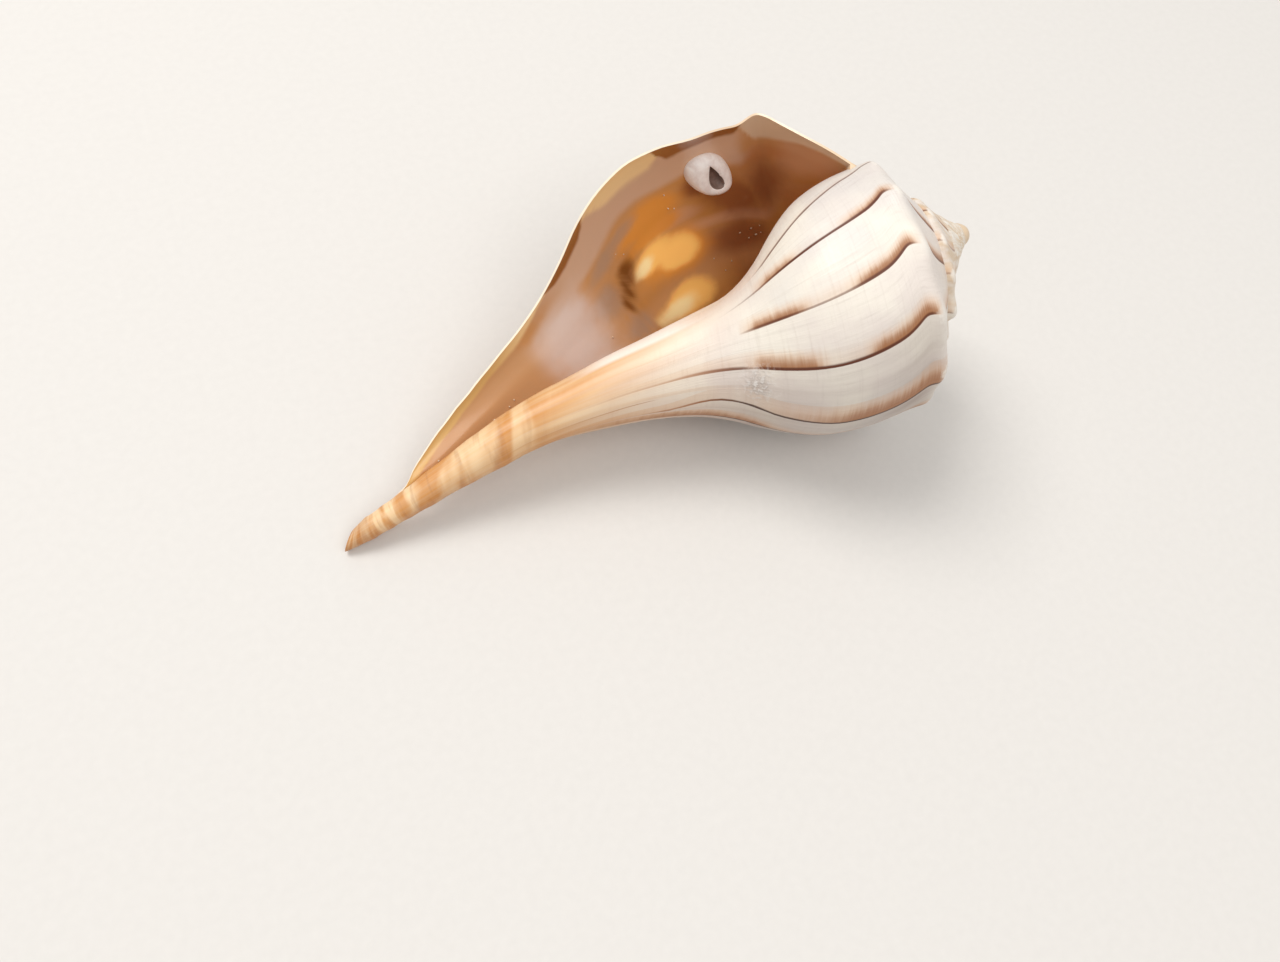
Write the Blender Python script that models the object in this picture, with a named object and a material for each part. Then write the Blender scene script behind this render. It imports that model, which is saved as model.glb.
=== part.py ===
"""Lightning whelk shell lying on its back, with a small barnacle grown on inside the opening.

The shell is one grown wall. It is drawn as growth lines: each column of points is an old edge of
the opening, turned about the coiling axis and scaled. A shell's own frame has the top of the spire
at the origin and the spire pointing up +Z, in millimetres. It is laid on the ground at the end.
"""

import math

import bmesh
import bpy
import numpy as np

MM = 0.001

# Driving dimensions, millimetres and turns
TOP_HEIGHT = 0.7
CANAL_LENGTH = 109.0
WHORLS = 4
WHORL_GROWTH = 1.90
LIP_AZIMUTH = 177.9
COLUMNS_PER_TURN = 48
KNOBS_PER_TURN = 12
HOLLOW_COLUMNS = 58
LIP_THICKNESS = 0.75
WALL_THICKNESS = 1.70
LEAST_GAP = 0.5
FLAT_SPOT_DEPTH = 0.5
RESTING_AZIMUTH = 65.0

# The outline of the last whorl, from the seam down over the shoulder to the end of the canal.
# Each row is a radius and a height. The seam itself is the cover row of the whorl before.
SHOULDER_ROW, COVER_ROW, FLOOR_ROW, CANAL_ROW = 4.5, 6, 7, 8
OUTLINE = [
    (18.9, -14.6), (22.4, -16.7), (25.8, -18.6), (28.1, -20.0), (29.4, -21.7),
    (29.8, -24.0), (29.9, -26.3), (29.9, -30.0), (29.6, -34.5), (28.8, -39.3),
    (27.3, -44.2), (24.6, -49.2), (21.0, -54.2), (16.9, -59.2), (13.6, -64.4),
    (11.2, -69.8), (9.5, -75.2), (8.1, -80.8), (6.7, -86.4), (5.2, -91.6),
    (3.6, -95.6), (1.6, -98.4), (0.9, -101.2), (0.5, -104.0), (0.2, -106.6),
    (0.05, -108.4),
]
MERGE_ROW = 22
LAST_ROW = len(OUTLINE)
SEAM_POINT = tuple(value / WHORL_GROWTH for value in OUTLINE[COVER_ROW - 1])
OUTLINE_RADII, OUTLINE_HEIGHTS = np.array([SEAM_POINT] + OUTLINE).T

# The pillar that the whorls wind round: depth below the top and radius
PILLAR = [
    (0, 0.5), (15, 1.8), (30, 3.9), (42, 5.5), (50, 5.3), (58, 4.8), (66, 4.15), (74, 3.6),
    (82, 3.1), (90, 2.4), (98, 1.8), (103, 1.5), (106.5, 1.2), (108.5, 0.8), (109.5, 0.3),
]
# How far the pillar and canal bend off the coiling axis: depth and offset
CANAL_BEND = [
    (0, 0), (50, 0), (60, -0.3), (72, -0.25), (79, 0.45), (87, 1.6), (94.7, 2.95),
    (102.6, 4.2), (110, 5.2),
]
# How far the lip flares past the whorl behind it: depth and width
LIP_FLARE = [
    (0, 0), (18, 0), (25, -0.3), (31, -0.3), (38, 1.0), (46, 2.7), (55, 3.9), (63, 3.5),
    (71, 2.7), (80, 1.7), (90, 0.8), (98, 0), (110, 0),
]
FLARE_TURNS = 0.13
# How far the lip's shoulder sags: outline row and drop
LIP_SAG = [(0, 0), (1, 0.2), (4, 1.3), (8, 1.3), (12, 0), (26, 0)]
# Where a growth line runs ahead of its shoulder point: outline row and degrees
SEAM_COLUMNS = 3
SEAM_LEAD = SEAM_COLUMNS * 360 / COLUMNS_PER_TURN
COVER_LEAD = -1.5
GROWTH_LINE = [
    (0, SEAM_LEAD + COVER_LEAD), (1, 15.5), (2.5, 7.5), (4, 1.5), (5, 0), (6, COVER_LEAD),
    (8, 4.0), (11, 7.0), (14, 3.5), (17, -4.0), (20, -12.0), (26, -16.0),
]
# Knobs stand on the shoulder, and those on the right of the whorl before stand tallest
KNOB_HEIGHT = 0.7
TALL_KNOB_HEIGHT = 2.0
TALL_KNOB_TURN, TALL_KNOB_SPREAD = -1.46, 0.13
SWELL_SHARE, SWELL_TURN, SWELL_SPREAD = 0.12, -1.45, 0.18
PILLAR_BLEND = 1.2
# The first whorls are worn blunt: how much wider they are at the top, and how soon that ends
BLUNT_WIDTH, BLUNT_DEPTH = 1.3, 2.2

# The barnacle sits inside the lip: turns behind the lip, outline row, and its own sizes.
# Its length runs round the wall, its width down the wall, and it leans towards the lip.
BARNACLE_TURN = -0.061
BARNACLE_ROW = 8.3
BARNACLE_LENGTH = 9.4
BARNACLE_WIDTH = 7.6
BARNACLE_HEIGHT = 2.5
BARNACLE_LEAN = 0.3
BARNACLE_SIDES = 24
BARNACLE_GAP = 0.3
MOUTH_LENGTH, MOUTH_WIDTH, MOUTH_DEPTH = 4.6, 2.5, 1.2
MOUTH_SHIFT = -0.3
MOUTH_ALONG = 0.7
MOUTH_POINT = 0.8


def through(points, x):
    """A smooth curve through the points, with no overshoot between them."""
    xs, ys = np.array(points, float).T
    x = np.clip(x, xs[0], xs[-1])
    step = np.diff(xs)
    slope = np.diff(ys) / step
    inner = (slope[:-1] * step[1:] + slope[1:] * step[:-1]) / (step[1:] + step[:-1])
    tangent = np.concatenate([slope[:1], np.where(slope[:-1] * slope[1:] > 0, inner, 0), slope[-1:]])
    limit = 3 * np.minimum(np.abs(np.append(slope[0], slope)), np.abs(np.append(slope, slope[-1])))
    tangent = np.clip(tangent, -limit, limit)
    i = np.clip(np.searchsorted(xs, x, side="right") - 1, 0, len(step) - 1)
    return hermite((x - xs[i]) / step[i], ys[i], ys[i + 1], tangent[i] * step[i], tangent[i + 1] * step[i])


def hermite(t, start, end, start_tangent, end_tangent):
    return (
        (2 * t**3 - 3 * t**2 + 1) * start
        + (t**3 - 2 * t**2 + t) * start_tangent
        + (3 * t**2 - 2 * t**3) * end
        + (t**3 - t**2) * end_tangent
    )


def along_rows(values, row):
    """A smooth curve through one value for each outline row."""
    tangent = np.gradient(values)
    i = np.clip(np.floor(row).astype(int), 0, len(values) - 2)
    return hermite(row - i, values[i], values[i + 1], tangent[i], tangent[i + 1])


def ease(t):
    t = np.clip(t, 0, 1)
    return t * t * (3 - 2 * t)


def bell(x, centre, spread):
    return np.exp(-(((x - centre) / spread) ** 2))


def larger_of(a, b):
    """The larger of the two, with the corner between them rounded."""
    return 0.5 * (a + b + np.sqrt((a - b) ** 2 + PILLAR_BLEND**2))


def pillar_radius(height):
    return through(PILLAR, -height)


BELOW_SHOULDER = np.linspace(COVER_ROW - 1, LAST_ROW, 800)
WHORL_HEIGHTS = along_rows(OUTLINE_HEIGHTS, BELOW_SHOULDER)
WHORL_RADII = along_rows(OUTLINE_RADII, BELOW_SHOULDER)


def whorl_size(turn):
    """The size of the shell when the lip was at this turn, as a share of its size now."""
    return WHORL_GROWTH**turn * (1 + SWELL_SHARE * bell(turn, SWELL_TURN, SWELL_SPREAD))


def whorl_radius(height, turn):
    """The radius of the whorl below its shoulder, with the pillar it runs into."""
    size = whorl_size(turn)
    own = size * np.interp(-height / size, -WHORL_HEIGHTS, WHORL_RADII, right=0)
    return larger_of(own, pillar_radius(height))


def knob_height(turn, row):
    tall = TALL_KNOB_HEIGHT * bell(turn, TALL_KNOB_TURN, TALL_KNOB_SPREAD)
    wave = 0.5 + 0.5 * np.cos(2 * math.pi * turn * KNOBS_PER_TURN)
    worn = ease((WHORL_GROWTH**turn - 0.05) / 0.5)
    return (KNOB_HEIGHT + tall) * worn * wave * bell(row, SHOULDER_ROW, 1.3)


def lip_share(turn):
    """1 at the lip, falling to 0 a quarter turn behind it."""
    return np.exp(-((np.clip(-turn, 0, None) / FLARE_TURNS) ** 1.3))


def outer_cylindrical(turn, row, knobs):
    """Radius, height and azimuth of the outer surface on the growth line of this turn."""
    turn, row = np.broadcast_arrays(np.asarray(turn, float), np.asarray(row, float))
    here = turn + through(GROWTH_LINE, row) / 360
    size = whorl_size(here)
    full_height = along_rows(OUTLINE_HEIGHTS, row)
    canal_share = ease((row - CANAL_ROW) / (MERGE_ROW - CANAL_ROW))
    height = (1 - canal_share) * size * full_height + canal_share * full_height
    upper = size * along_rows(OUTLINE_RADII, row)
    radius = np.where(row <= CANAL_ROW, upper, whorl_radius(height, here))
    radius = radius + BLUNT_WIDTH * np.exp(height / BLUNT_DEPTH)
    radius = radius + through(LIP_FLARE, -height) * lip_share(turn) * (row < MERGE_ROW)
    height = height - through(LIP_SAG, row) * lip_share(turn)
    if knobs:
        knob = knob_height(turn, row)
        radius = radius + knob
        height = height + 0.15 * knob
    return radius, height, np.radians(LIP_AZIMUTH + 360 * here)


def outer_point(turn, row, knobs=True):
    radius, height, azimuth = outer_cylindrical(turn, row, knobs)
    x = radius * np.cos(azimuth) + through(CANAL_BEND, -height)
    return np.stack([x, radius * np.sin(azimuth), height], axis=-1)


def outward(turn, row):
    """The outer surface's normal, from points a little to each side."""
    round_step = outer_point(turn + 0.001, row, False) - outer_point(turn - 0.001, row, False)
    above = outer_point(turn, np.clip(row - 0.02, 0, LAST_ROW), False)
    below = outer_point(turn, np.clip(row + 0.02, 0, LAST_ROW), False)
    normal = np.cross(round_step, above - below)
    return normal / np.linalg.norm(normal, axis=-1, keepdims=True)


def wall_thickness(turn, row):
    """Thin at the lip, thicker behind it, and gone where the lip runs into the canal."""
    full = LIP_THICKNESS + (WALL_THICKNESS - LIP_THICKNESS) * ease(-turn / 0.12)
    full = full * (0.55 + 0.45 * WHORL_GROWTH**turn)
    radius, height, _ = outer_cylindrical(turn, row, False)
    room = np.where(row > CANAL_ROW, np.maximum(radius - pillar_radius(height), 1e-6), 99)
    return full * (1 - np.exp(-0.9 * room / full))


def inner_point(turn, row):
    thickness = wall_thickness(turn, row)
    return outer_point(turn, row, False) - outward(turn, row) * thickness[..., None]


def radius_about_pillar(points):
    return np.hypot(points[..., 0] - through(CANAL_BEND, -points[..., 2]), points[..., 1])


def hollow_turns(row, most, on_floor):
    """How far back the hollow reaches along a row, until the wall and the pillar close on it."""
    back = np.linspace(0, most, 400)
    if row <= CANAL_ROW + 1:
        return most
    rows = np.full_like(back, row)
    lead = through(GROWTH_LINE, row) / 360
    if on_floor:
        floor, height, _ = outer_cylindrical(-1 - back, rows, False)
        outside = whorl_radius(height, lead - back) + through(LIP_FLARE, -height) * lip_share(-back)
        wall = outside - wall_thickness(-back, rows)
    else:
        inside = inner_point(-back, rows)
        wall = radius_about_pillar(inside)
        floor = whorl_radius(inside[:, 2], lead - 1 - back)
    needed = LEAST_GAP * ease(back / 0.05) * min(1, (MERGE_ROW - row) / 2)
    closed = np.nonzero(wall - floor <= needed)[0]
    return most if len(closed) == 0 else back[max(closed[0] - 1, 0)]


class ShellMesh:
    """The shell's wall as one closed surface. fine is how many steps each row and column takes."""

    def __init__(self, fine=1):
        self.points = []
        self.faces = []
        self.per_turn = COLUMNS_PER_TURN * fine
        self.lead = SEAM_COLUMNS * fine
        self.last = WHORLS * self.per_turn
        self.cover, self.floor_row = COVER_ROW * fine, FLOOR_ROW * fine
        self.merge, self.tip = MERGE_ROW * fine, LAST_ROW * fine
        self.rows = np.arange(self.tip + 1) / fine
        self.hollow = HOLLOW_COLUMNS * fine
        self.outside()
        self.canal_end()
        self.spire_top(3 * fine)
        self.inside()
        self.points = np.array(self.points)

    def add(self, point):
        self.points.append(np.asarray(point, float))
        return len(self.points) - 1

    def face(self, *corners):
        kept = [c for i, c in enumerate(corners) if c not in corners[:i]]
        if len(kept) > 2:
            self.faces.append(kept)

    def outside(self):
        """Every whorl down to the line that the next one covers, and the last one whole."""
        grid = np.full((self.last + 1, self.tip + 1), -1)
        for column in range(self.last + 1):
            rows = self.tip if column >= self.last - self.per_turn else self.cover
            points = outer_point((column - self.last) / self.per_turn, self.rows[: rows + 1])
            for row in range(rows + 1):
                if row == 0 and column >= self.per_turn - self.lead:
                    grid[column, 0] = grid[column - self.per_turn + self.lead, self.cover]
                elif column == self.last and row >= self.merge:
                    grid[column, row] = grid[column - self.per_turn, row]
                else:
                    grid[column, row] = self.add(points[row])
        first_full = self.last - self.per_turn
        for column in range(self.last):
            for row in range(self.tip if column >= first_full else self.cover):
                buried = column < first_full + self.lead and self.cover <= row < self.floor_row
                if not (buried and column >= first_full):
                    self.face(*grid[column, row : row + 2], *grid[column + 1, row : row + 2][::-1])
        self.grid = grid

    def canal_end(self):
        ring = self.grid[self.last - self.per_turn : self.last, self.tip]
        bend = float(through(CANAL_BEND, CANAL_LENGTH))
        tip = self.add((bend, 0, -CANAL_LENGTH))
        for one, other in zip(ring, np.roll(ring, -1)):
            self.face(one, tip, other)

    def spire_top(self, rings):
        """A small dome over the start of the first whorl."""
        loop = list(self.grid[: self.per_turn - self.lead + 1, 0])
        loop += list(self.grid[0, self.cover - 1 : 0 : -1])
        rim = np.array([self.points[i] for i in loop])
        ring = loop
        for step in range(1, rings):
            share = 1 - step / rings
            points = rim * share
            points[:, 2] = rim[:, 2] + (TOP_HEIGHT - rim[:, 2]) * (1 - share**2.6) ** 0.75
            following = [self.add(point) for point in points]
            for i in range(len(loop)):
                j = (i + 1) % len(loop)
                self.face(ring[i], ring[j], following[j], following[i])
            ring = following
        top = self.add((0, 0, TOP_HEIGHT))
        for i in range(len(ring)):
            self.face(ring[i], ring[(i + 1) % len(ring)], top)

    def inside(self):
        """The hollow: the wall's inner face, and the whorl before as its floor."""
        rows = self.rows[: self.merge]
        floor_columns = self.hollow - self.lead
        wall_turns = np.array([hollow_turns(row, self.hollow / self.per_turn, False) for row in rows])
        floor_turns = np.array([hollow_turns(row, floor_columns / self.per_turn, True) for row in rows])
        wall_turns = np.minimum.accumulate(wall_turns)
        floor_turns = np.minimum.accumulate(floor_turns)
        pinch = self.grid[self.last - self.per_turn, self.merge]
        floor = np.full((floor_columns + 1, self.merge + 1), pinch)
        floor[0] = self.grid[self.last - self.per_turn, : self.merge + 1]
        lower = slice(self.floor_row, self.merge)
        for column in range(1, floor_columns + 1):
            points = outer_point(-1 - floor_turns[lower] * column / floor_columns, rows[lower], False)
            floor[column, lower] = [self.add(point) for point in points]
        wall = np.full((self.hollow + 1, self.merge + 1), pinch)
        below_seam = self.last - self.per_turn + self.lead
        for column in range(self.hollow + 1):
            points = inner_point(-wall_turns[1:] * column / self.hollow, rows[1:])
            wall[column, 1 : self.merge] = [self.add(point) for point in points]
            if column <= self.lead:
                wall[column, 0] = self.grid[below_seam - column, self.floor_row]
            else:
                wall[column, 0] = floor[column - self.lead, self.floor_row]
        for column in range(self.hollow):
            for row in range(self.merge):
                self.face(*wall[column, row : row + 2], *wall[column + 1, row : row + 2][::-1])
        for column in range(floor_columns):
            for row in range(self.floor_row, self.merge):
                self.face(*floor[column + 1, row : row + 2], *floor[column, row : row + 2][::-1])
        for row in range(self.merge):
            self.face(*self.grid[self.last, row : row + 2], *wall[0, row : row + 2][::-1])
        self.close_hollow(list(wall[-1]), list(floor[-1, self.floor_row :]))

    def close_hollow(self, wall, floor):
        """The far end of the hollow, deep in the spire, joins its wall to its floor."""
        i = j = 0
        while i < len(wall) - 1 or j < len(floor) - 1:
            along_wall = self.apart(wall, i + 1, floor, j) < self.apart(wall, i, floor, j + 1)
            if along_wall:
                self.face(wall[i], wall[i + 1], floor[j])
                i += 1
            else:
                self.face(wall[i], floor[j + 1], floor[j])
                j += 1

    def apart(self, wall, i, floor, j):
        if i >= len(wall) or j >= len(floor):
            return math.inf
        return np.linalg.norm(self.points[wall[i]] - self.points[floor[j]])


def laid_down(tilt):
    """Rows that turn the shell's own frame to lie on its back, the spire towards +X."""
    side = math.radians(RESTING_AZIMUTH)
    spire, down, across = np.array([
        (math.cos(tilt), 0, math.sin(tilt)),
        (math.sin(tilt), 0, -math.cos(tilt)),
        (0, 1, 0),
    ])
    own_down = (math.cos(side), math.sin(side), 0)
    own_across = (-math.sin(side), math.cos(side), 0)
    return np.outer(spire, (0, 0, 1)) + np.outer(down, own_down) + np.outer(across, own_across)


def resting_place(points):
    """The turn and shift that rest the shell on its back and on the end of its canal."""
    low, high = 0.0, math.radians(30)
    for _ in range(40):
        tilt = (low + high) / 2
        heights = points @ laid_down(tilt)[2]
        canal = heights[points[:, 2] < -0.9 * CANAL_LENGTH].min()
        back = heights[points[:, 2] > -0.6 * CANAL_LENGTH].min()
        low, high = (low, tilt) if back > canal - FLAT_SPOT_DEPTH else (tilt, high)
    turn = laid_down(tilt)
    laid = points @ turn.T
    middle = (laid.min(axis=0) + laid.max(axis=0)) / 2
    return turn, np.array([-middle[0], -middle[1], -canal])


def material(name, colour, roughness):
    made = bpy.data.materials.new(name)
    made.use_nodes = True
    shader = made.node_tree.nodes["Principled BSDF"]
    shader.inputs["Base Color"].default_value = (*colour, 1)
    shader.inputs["Roughness"].default_value = roughness
    shader.inputs["Metallic"].default_value = 0
    return made


def add_object(name, points, faces, finish):
    mesh = bpy.data.meshes.new(name)
    whole = [[int(i) for i in face] for face in faces]
    mesh.from_pydata([tuple(point) for point in points * MM], [], whole)
    mesh.materials.append(finish)
    made = bpy.data.objects.new(name, mesh)
    bpy.context.scene.collection.objects.link(made)
    return made


def cut_flat_spot(made):
    """Cuts off what would reach below the ground, and closes the cut with one flat face."""
    edit = bmesh.new()
    edit.from_mesh(made.data)
    geometry = edit.verts[:] + edit.edges[:] + edit.faces[:]
    cut = bmesh.ops.bisect_plane(
        edit, geom=geometry, dist=1e-8, plane_co=(0, 0, 0), plane_no=(0, 0, 1), clear_inner=True
    )
    rim = [part for part in cut["geom_cut"] if isinstance(part, bmesh.types.BMEdge)]
    bmesh.ops.contextual_create(edit, geom=rim)
    edit.to_mesh(made.data)
    edit.free()


def shade_round(made):
    made.data.shade_smooth()
    made.data.set_sharp_from_angle(angle=math.radians(50))


def make_shell():
    surface = ShellMesh()
    turn, shift = resting_place(surface.points)
    shell = add_object(
        "shell", surface.points @ turn.T + shift, surface.faces, material("shell", (0.78, 0.66, 0.55), 0.45)
    )
    cut_flat_spot(shell)
    shade_round(shell)
    return turn, shift


def barnacle_frame():
    """Turns and rows per millimetre along the inner wall there, and its normal into the hollow."""
    turn, row = np.array(BARNACLE_TURN), np.array(BARNACLE_ROW)
    step = 0.001
    round_wall = (inner_point(turn + step, row) - inner_point(turn - step, row)) / (2 * step)
    down_wall = (inner_point(turn, row + step) - inner_point(turn, row - step)) / (2 * step)
    normal = np.cross(round_wall, down_wall)
    return (
        1 / np.linalg.norm(round_wall), 1 / np.linalg.norm(down_wall), normal / np.linalg.norm(normal)
    )


def barnacle_ring(length, width, height, moved=0.0, point=0.0):
    """A ring round the barnacle at a height above the wall, which follows the wall's curve.

    moved is how far it has gone towards the mouth's middle, and point narrows its end by the lip.
    """
    per_turn, per_row, normal = barnacle_frame()
    angle = np.arange(BARNACLE_SIDES) * 2 * math.pi / BARNACLE_SIDES
    along = length / 2 * np.cos(angle) + MOUTH_ALONG * moved
    down = width / 2 * np.sin(angle) * (1 - point * np.cos(angle)) + MOUTH_SHIFT * moved
    wall = inner_point(BARNACLE_TURN + along * per_turn, BARNACLE_ROW + down * per_row)
    raised = height * (1 - BARNACLE_LEAN * along / (BARNACLE_LENGTH / 2))
    return wall + normal * (BARNACLE_GAP + raised)[:, None]


def make_barnacle(turn, shift):
    """A low oval cone of plates, open at the top."""
    length, width, height = BARNACLE_LENGTH, BARNACLE_WIDTH, BARNACLE_HEIGHT
    rings = [
        barnacle_ring(length * 0.5, width * 0.5, 0),
        barnacle_ring(length, width, 0),
        barnacle_ring(length * 0.98, width * 0.98, 0.3 * height),
        barnacle_ring(length * 0.86, width * 0.86, 0.7 * height, 0.35, MOUTH_POINT * 0.1),
        barnacle_ring(length * 0.67, width * 0.66, 0.97 * height, 0.5, MOUTH_POINT * 0.3),
        barnacle_ring(MOUTH_LENGTH, MOUTH_WIDTH, height, 1.0, MOUTH_POINT),
        barnacle_ring(MOUTH_LENGTH * 0.7, MOUTH_WIDTH * 0.7, height - MOUTH_DEPTH, 1.0, MOUTH_POINT),
    ]
    points = [point for ring in rings for point in ring]
    faces = []
    for ring in range(len(rings) - 1):
        for side in range(BARNACLE_SIDES):
            one = ring * BARNACLE_SIDES + side
            other = ring * BARNACLE_SIDES + (side + 1) % BARNACLE_SIDES
            faces.append((one, other, other + BARNACLE_SIDES, one + BARNACLE_SIDES))
    for ring, order in ((0, -1), (len(rings) - 1, 1)):
        first = ring * BARNACLE_SIDES
        points.append(rings[ring].mean(axis=0))
        for side in range(BARNACLE_SIDES):
            edge = (first + side, first + (side + 1) % BARNACLE_SIDES)[::order]
            faces.append((*edge, len(points) - 1))
    barnacle = add_object(
        "barnacle", np.array(points) @ turn.T + shift, faces, material("barnacle", (0.74, 0.70, 0.66), 0.6)
    )
    shade_round(barnacle)


def main():
    for left in list(bpy.data.objects):
        bpy.data.objects.remove(left)
    turn, shift = make_shell()
    make_barnacle(turn, shift)


main()
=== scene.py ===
# %% [markdown]
# This lesson dresses a lightning whelk shell. The shell lies on its back with its opening up and its
# spire to the right, and a small barnacle has grown on inside the outer lip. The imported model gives
# the shape at its real size. Here each piece is made again with a finer surface and gets its finish.
# A few grains of sand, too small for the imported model, are added at the end.

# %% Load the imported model
import math

import bmesh
import bpy
import numpy as np
from mathutils import Matrix, Vector


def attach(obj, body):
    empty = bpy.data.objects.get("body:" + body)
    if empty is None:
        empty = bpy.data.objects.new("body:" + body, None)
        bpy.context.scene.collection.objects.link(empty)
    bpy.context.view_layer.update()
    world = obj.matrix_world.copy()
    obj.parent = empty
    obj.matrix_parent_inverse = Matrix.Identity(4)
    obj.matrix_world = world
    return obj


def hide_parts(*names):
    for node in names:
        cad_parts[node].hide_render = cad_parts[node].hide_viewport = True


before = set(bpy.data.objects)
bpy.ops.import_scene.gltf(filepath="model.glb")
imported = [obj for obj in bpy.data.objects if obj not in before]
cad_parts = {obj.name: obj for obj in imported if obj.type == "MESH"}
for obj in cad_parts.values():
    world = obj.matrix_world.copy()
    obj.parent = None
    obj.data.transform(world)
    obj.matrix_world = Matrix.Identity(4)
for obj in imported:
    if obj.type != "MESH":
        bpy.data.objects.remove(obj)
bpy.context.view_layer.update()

MM = 0.001
print("pieces in the packed model:", sorted(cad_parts))

# %% [markdown]
# A shell is a record of its own growth. Every edge that the opening ever had is still there as a
# growth line, so the natural coordinates of the surface are the turn at which a point was made and
# its place along that growth line. The turn is 0 at the lip and negative behind it. The place is an
# outline row: 0 at the seam, 4.5 at the shoulder, 26 at the end of the canal. Sculpting by hand
# would lose these coordinates. Formulas keep them, and all the markings are painted with them. The
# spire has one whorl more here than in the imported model, so that its tip comes out as small as the
# real one.

# %% Sizes of the shell, in millimetres and turns
TOP_HEIGHT = 0.7
CANAL_LENGTH = 109.0
WHORLS = 5
WHORL_GROWTH = 1.90
LIP_AZIMUTH = 177.9
COLUMNS_PER_TURN = 48
KNOBS_PER_TURN = 12
HOLLOW_COLUMNS = 58
LIP_THICKNESS = 0.30
WALL_THICKNESS = 1.70
LEAST_GAP = 0.5
FLAT_SPOT_DEPTH = 0.5
RESTING_AZIMUTH = 65.0

SHOULDER_ROW, COVER_ROW, FLOOR_ROW, CANAL_ROW = 4.5, 6, 7, 8
OUTLINE = [
    (18.9, -14.6), (22.4, -16.7), (25.8, -18.6), (28.1, -20.0), (29.4, -21.7),
    (29.8, -24.0), (29.9, -26.3), (29.9, -30.0), (29.6, -34.5), (28.8, -39.3),
    (27.3, -44.2), (24.6, -49.2), (21.0, -54.2), (16.9, -59.2), (13.6, -64.4),
    (11.2, -69.8), (9.5, -75.2), (8.1, -80.8), (6.7, -86.4), (5.2, -91.6),
    (3.6, -95.6), (1.6, -98.4), (0.9, -101.2), (0.5, -104.0), (0.2, -106.6),
    (0.05, -108.4),
]
MERGE_ROW = 22
LAST_ROW = len(OUTLINE)
SEAM_POINT = tuple(value / WHORL_GROWTH for value in OUTLINE[COVER_ROW - 1])
OUTLINE_RADII, OUTLINE_HEIGHTS = np.array([SEAM_POINT] + OUTLINE).T

PILLAR = [
    (0, 0.5), (15, 1.8), (30, 3.9), (42, 5.5), (50, 5.3), (58, 4.8), (66, 4.15), (74, 3.6),
    (82, 3.1), (90, 2.4), (98, 1.8), (103, 1.5), (106.5, 1.2), (108.5, 0.8), (109.5, 0.3),
]
CANAL_BEND = [
    (0, 0), (50, 0), (60, -0.3), (72, -0.25), (79, 0.45), (87, 1.6), (94.7, 2.95),
    (102.6, 4.2), (110, 5.2),
]
LIP_FLARE = [
    (0, 0), (18, 0), (25, -0.3), (31, -0.3), (38, 1.0), (46, 2.7), (55, 3.9), (63, 3.5),
    (71, 2.7), (80, 1.7), (90, 0.8), (98, 0), (110, 0),
]
FLARE_TURNS = 0.13
LIP_SAG = [(0, 0), (1, 0.2), (4, 1.3), (8, 1.3), (12, 0), (26, 0)]
SEAM_COLUMNS = 3
SEAM_LEAD = SEAM_COLUMNS * 360 / COLUMNS_PER_TURN
COVER_LEAD = -1.5
GROWTH_LINE = [
    (0, SEAM_LEAD + COVER_LEAD), (1, 15.5), (2.5, 7.5), (4, 1.5), (5, 0), (6, COVER_LEAD),
    (8, 4.0), (11, 7.0), (14, 3.5), (17, -4.0), (20, -12.0), (26, -16.0),
]
KNOB_HEIGHT = 0.7
TALL_KNOB_HEIGHT = 2.0
TALL_KNOB_TURN, TALL_KNOB_SPREAD = -1.46, 0.13
SWELL_SHARE, SWELL_TURN, SWELL_SPREAD = 0.12, -1.45, 0.18
PILLAR_BLEND = 1.2
BLUNT_WIDTH, BLUNT_DEPTH = 1.3, 2.2
print("canal length", CANAL_LENGTH, "mm, whorls", WHORLS)


# %% [markdown]
# Almost everything about a shell changes smoothly along it: the outline, the flare of the lip, how
# strong a streak is. Each is told by a few chosen points with a smooth curve through them. A plain
# spline would swing past its points, so these curves are kept from doing that.

# %% Smooth curves through a few chosen points
def through(points, x):
    """A smooth curve through the points, with no overshoot between them."""
    xs, ys = np.array(points, float).T
    x = np.clip(x, xs[0], xs[-1])
    step = np.diff(xs)
    slope = np.diff(ys) / step
    inner = (slope[:-1] * step[1:] + slope[1:] * step[:-1]) / (step[1:] + step[:-1])
    tangent = np.concatenate([slope[:1], np.where(slope[:-1] * slope[1:] > 0, inner, 0), slope[-1:]])
    limit = 3 * np.minimum(np.abs(np.append(slope[0], slope)), np.abs(np.append(slope, slope[-1])))
    tangent = np.clip(tangent, -limit, limit)
    i = np.clip(np.searchsorted(xs, x, side="right") - 1, 0, len(step) - 1)
    return hermite((x - xs[i]) / step[i], ys[i], ys[i + 1], tangent[i] * step[i], tangent[i + 1] * step[i])


def hermite(t, start, end, start_tangent, end_tangent):
    return (
        (2 * t**3 - 3 * t**2 + 1) * start
        + (t**3 - 2 * t**2 + t) * start_tangent
        + (3 * t**2 - 2 * t**3) * end
        + (t**3 - t**2) * end_tangent
    )


def along_rows(values, row):
    """A smooth curve through one value for each outline row."""
    tangent = np.gradient(values)
    i = np.clip(np.floor(row).astype(int), 0, len(values) - 2)
    return hermite(row - i, values[i], values[i + 1], tangent[i], tangent[i + 1])


def ease(t):
    t = np.clip(t, 0, 1)
    return t * t * (3 - 2 * t)


def bell(x, centre, spread):
    return np.exp(-(((x - centre) / spread) ** 2))


def larger_of(a, b):
    """The larger of the two, with the corner between them rounded."""
    return 0.5 * (a + b + np.sqrt((a - b) ** 2 + PILLAR_BLEND**2))


def pillar_radius(height):
    return through(PILLAR, -height)


print("the pillar's radius 50 mm below the top:", round(float(pillar_radius(-50.0)), 1), "mm")


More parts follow.
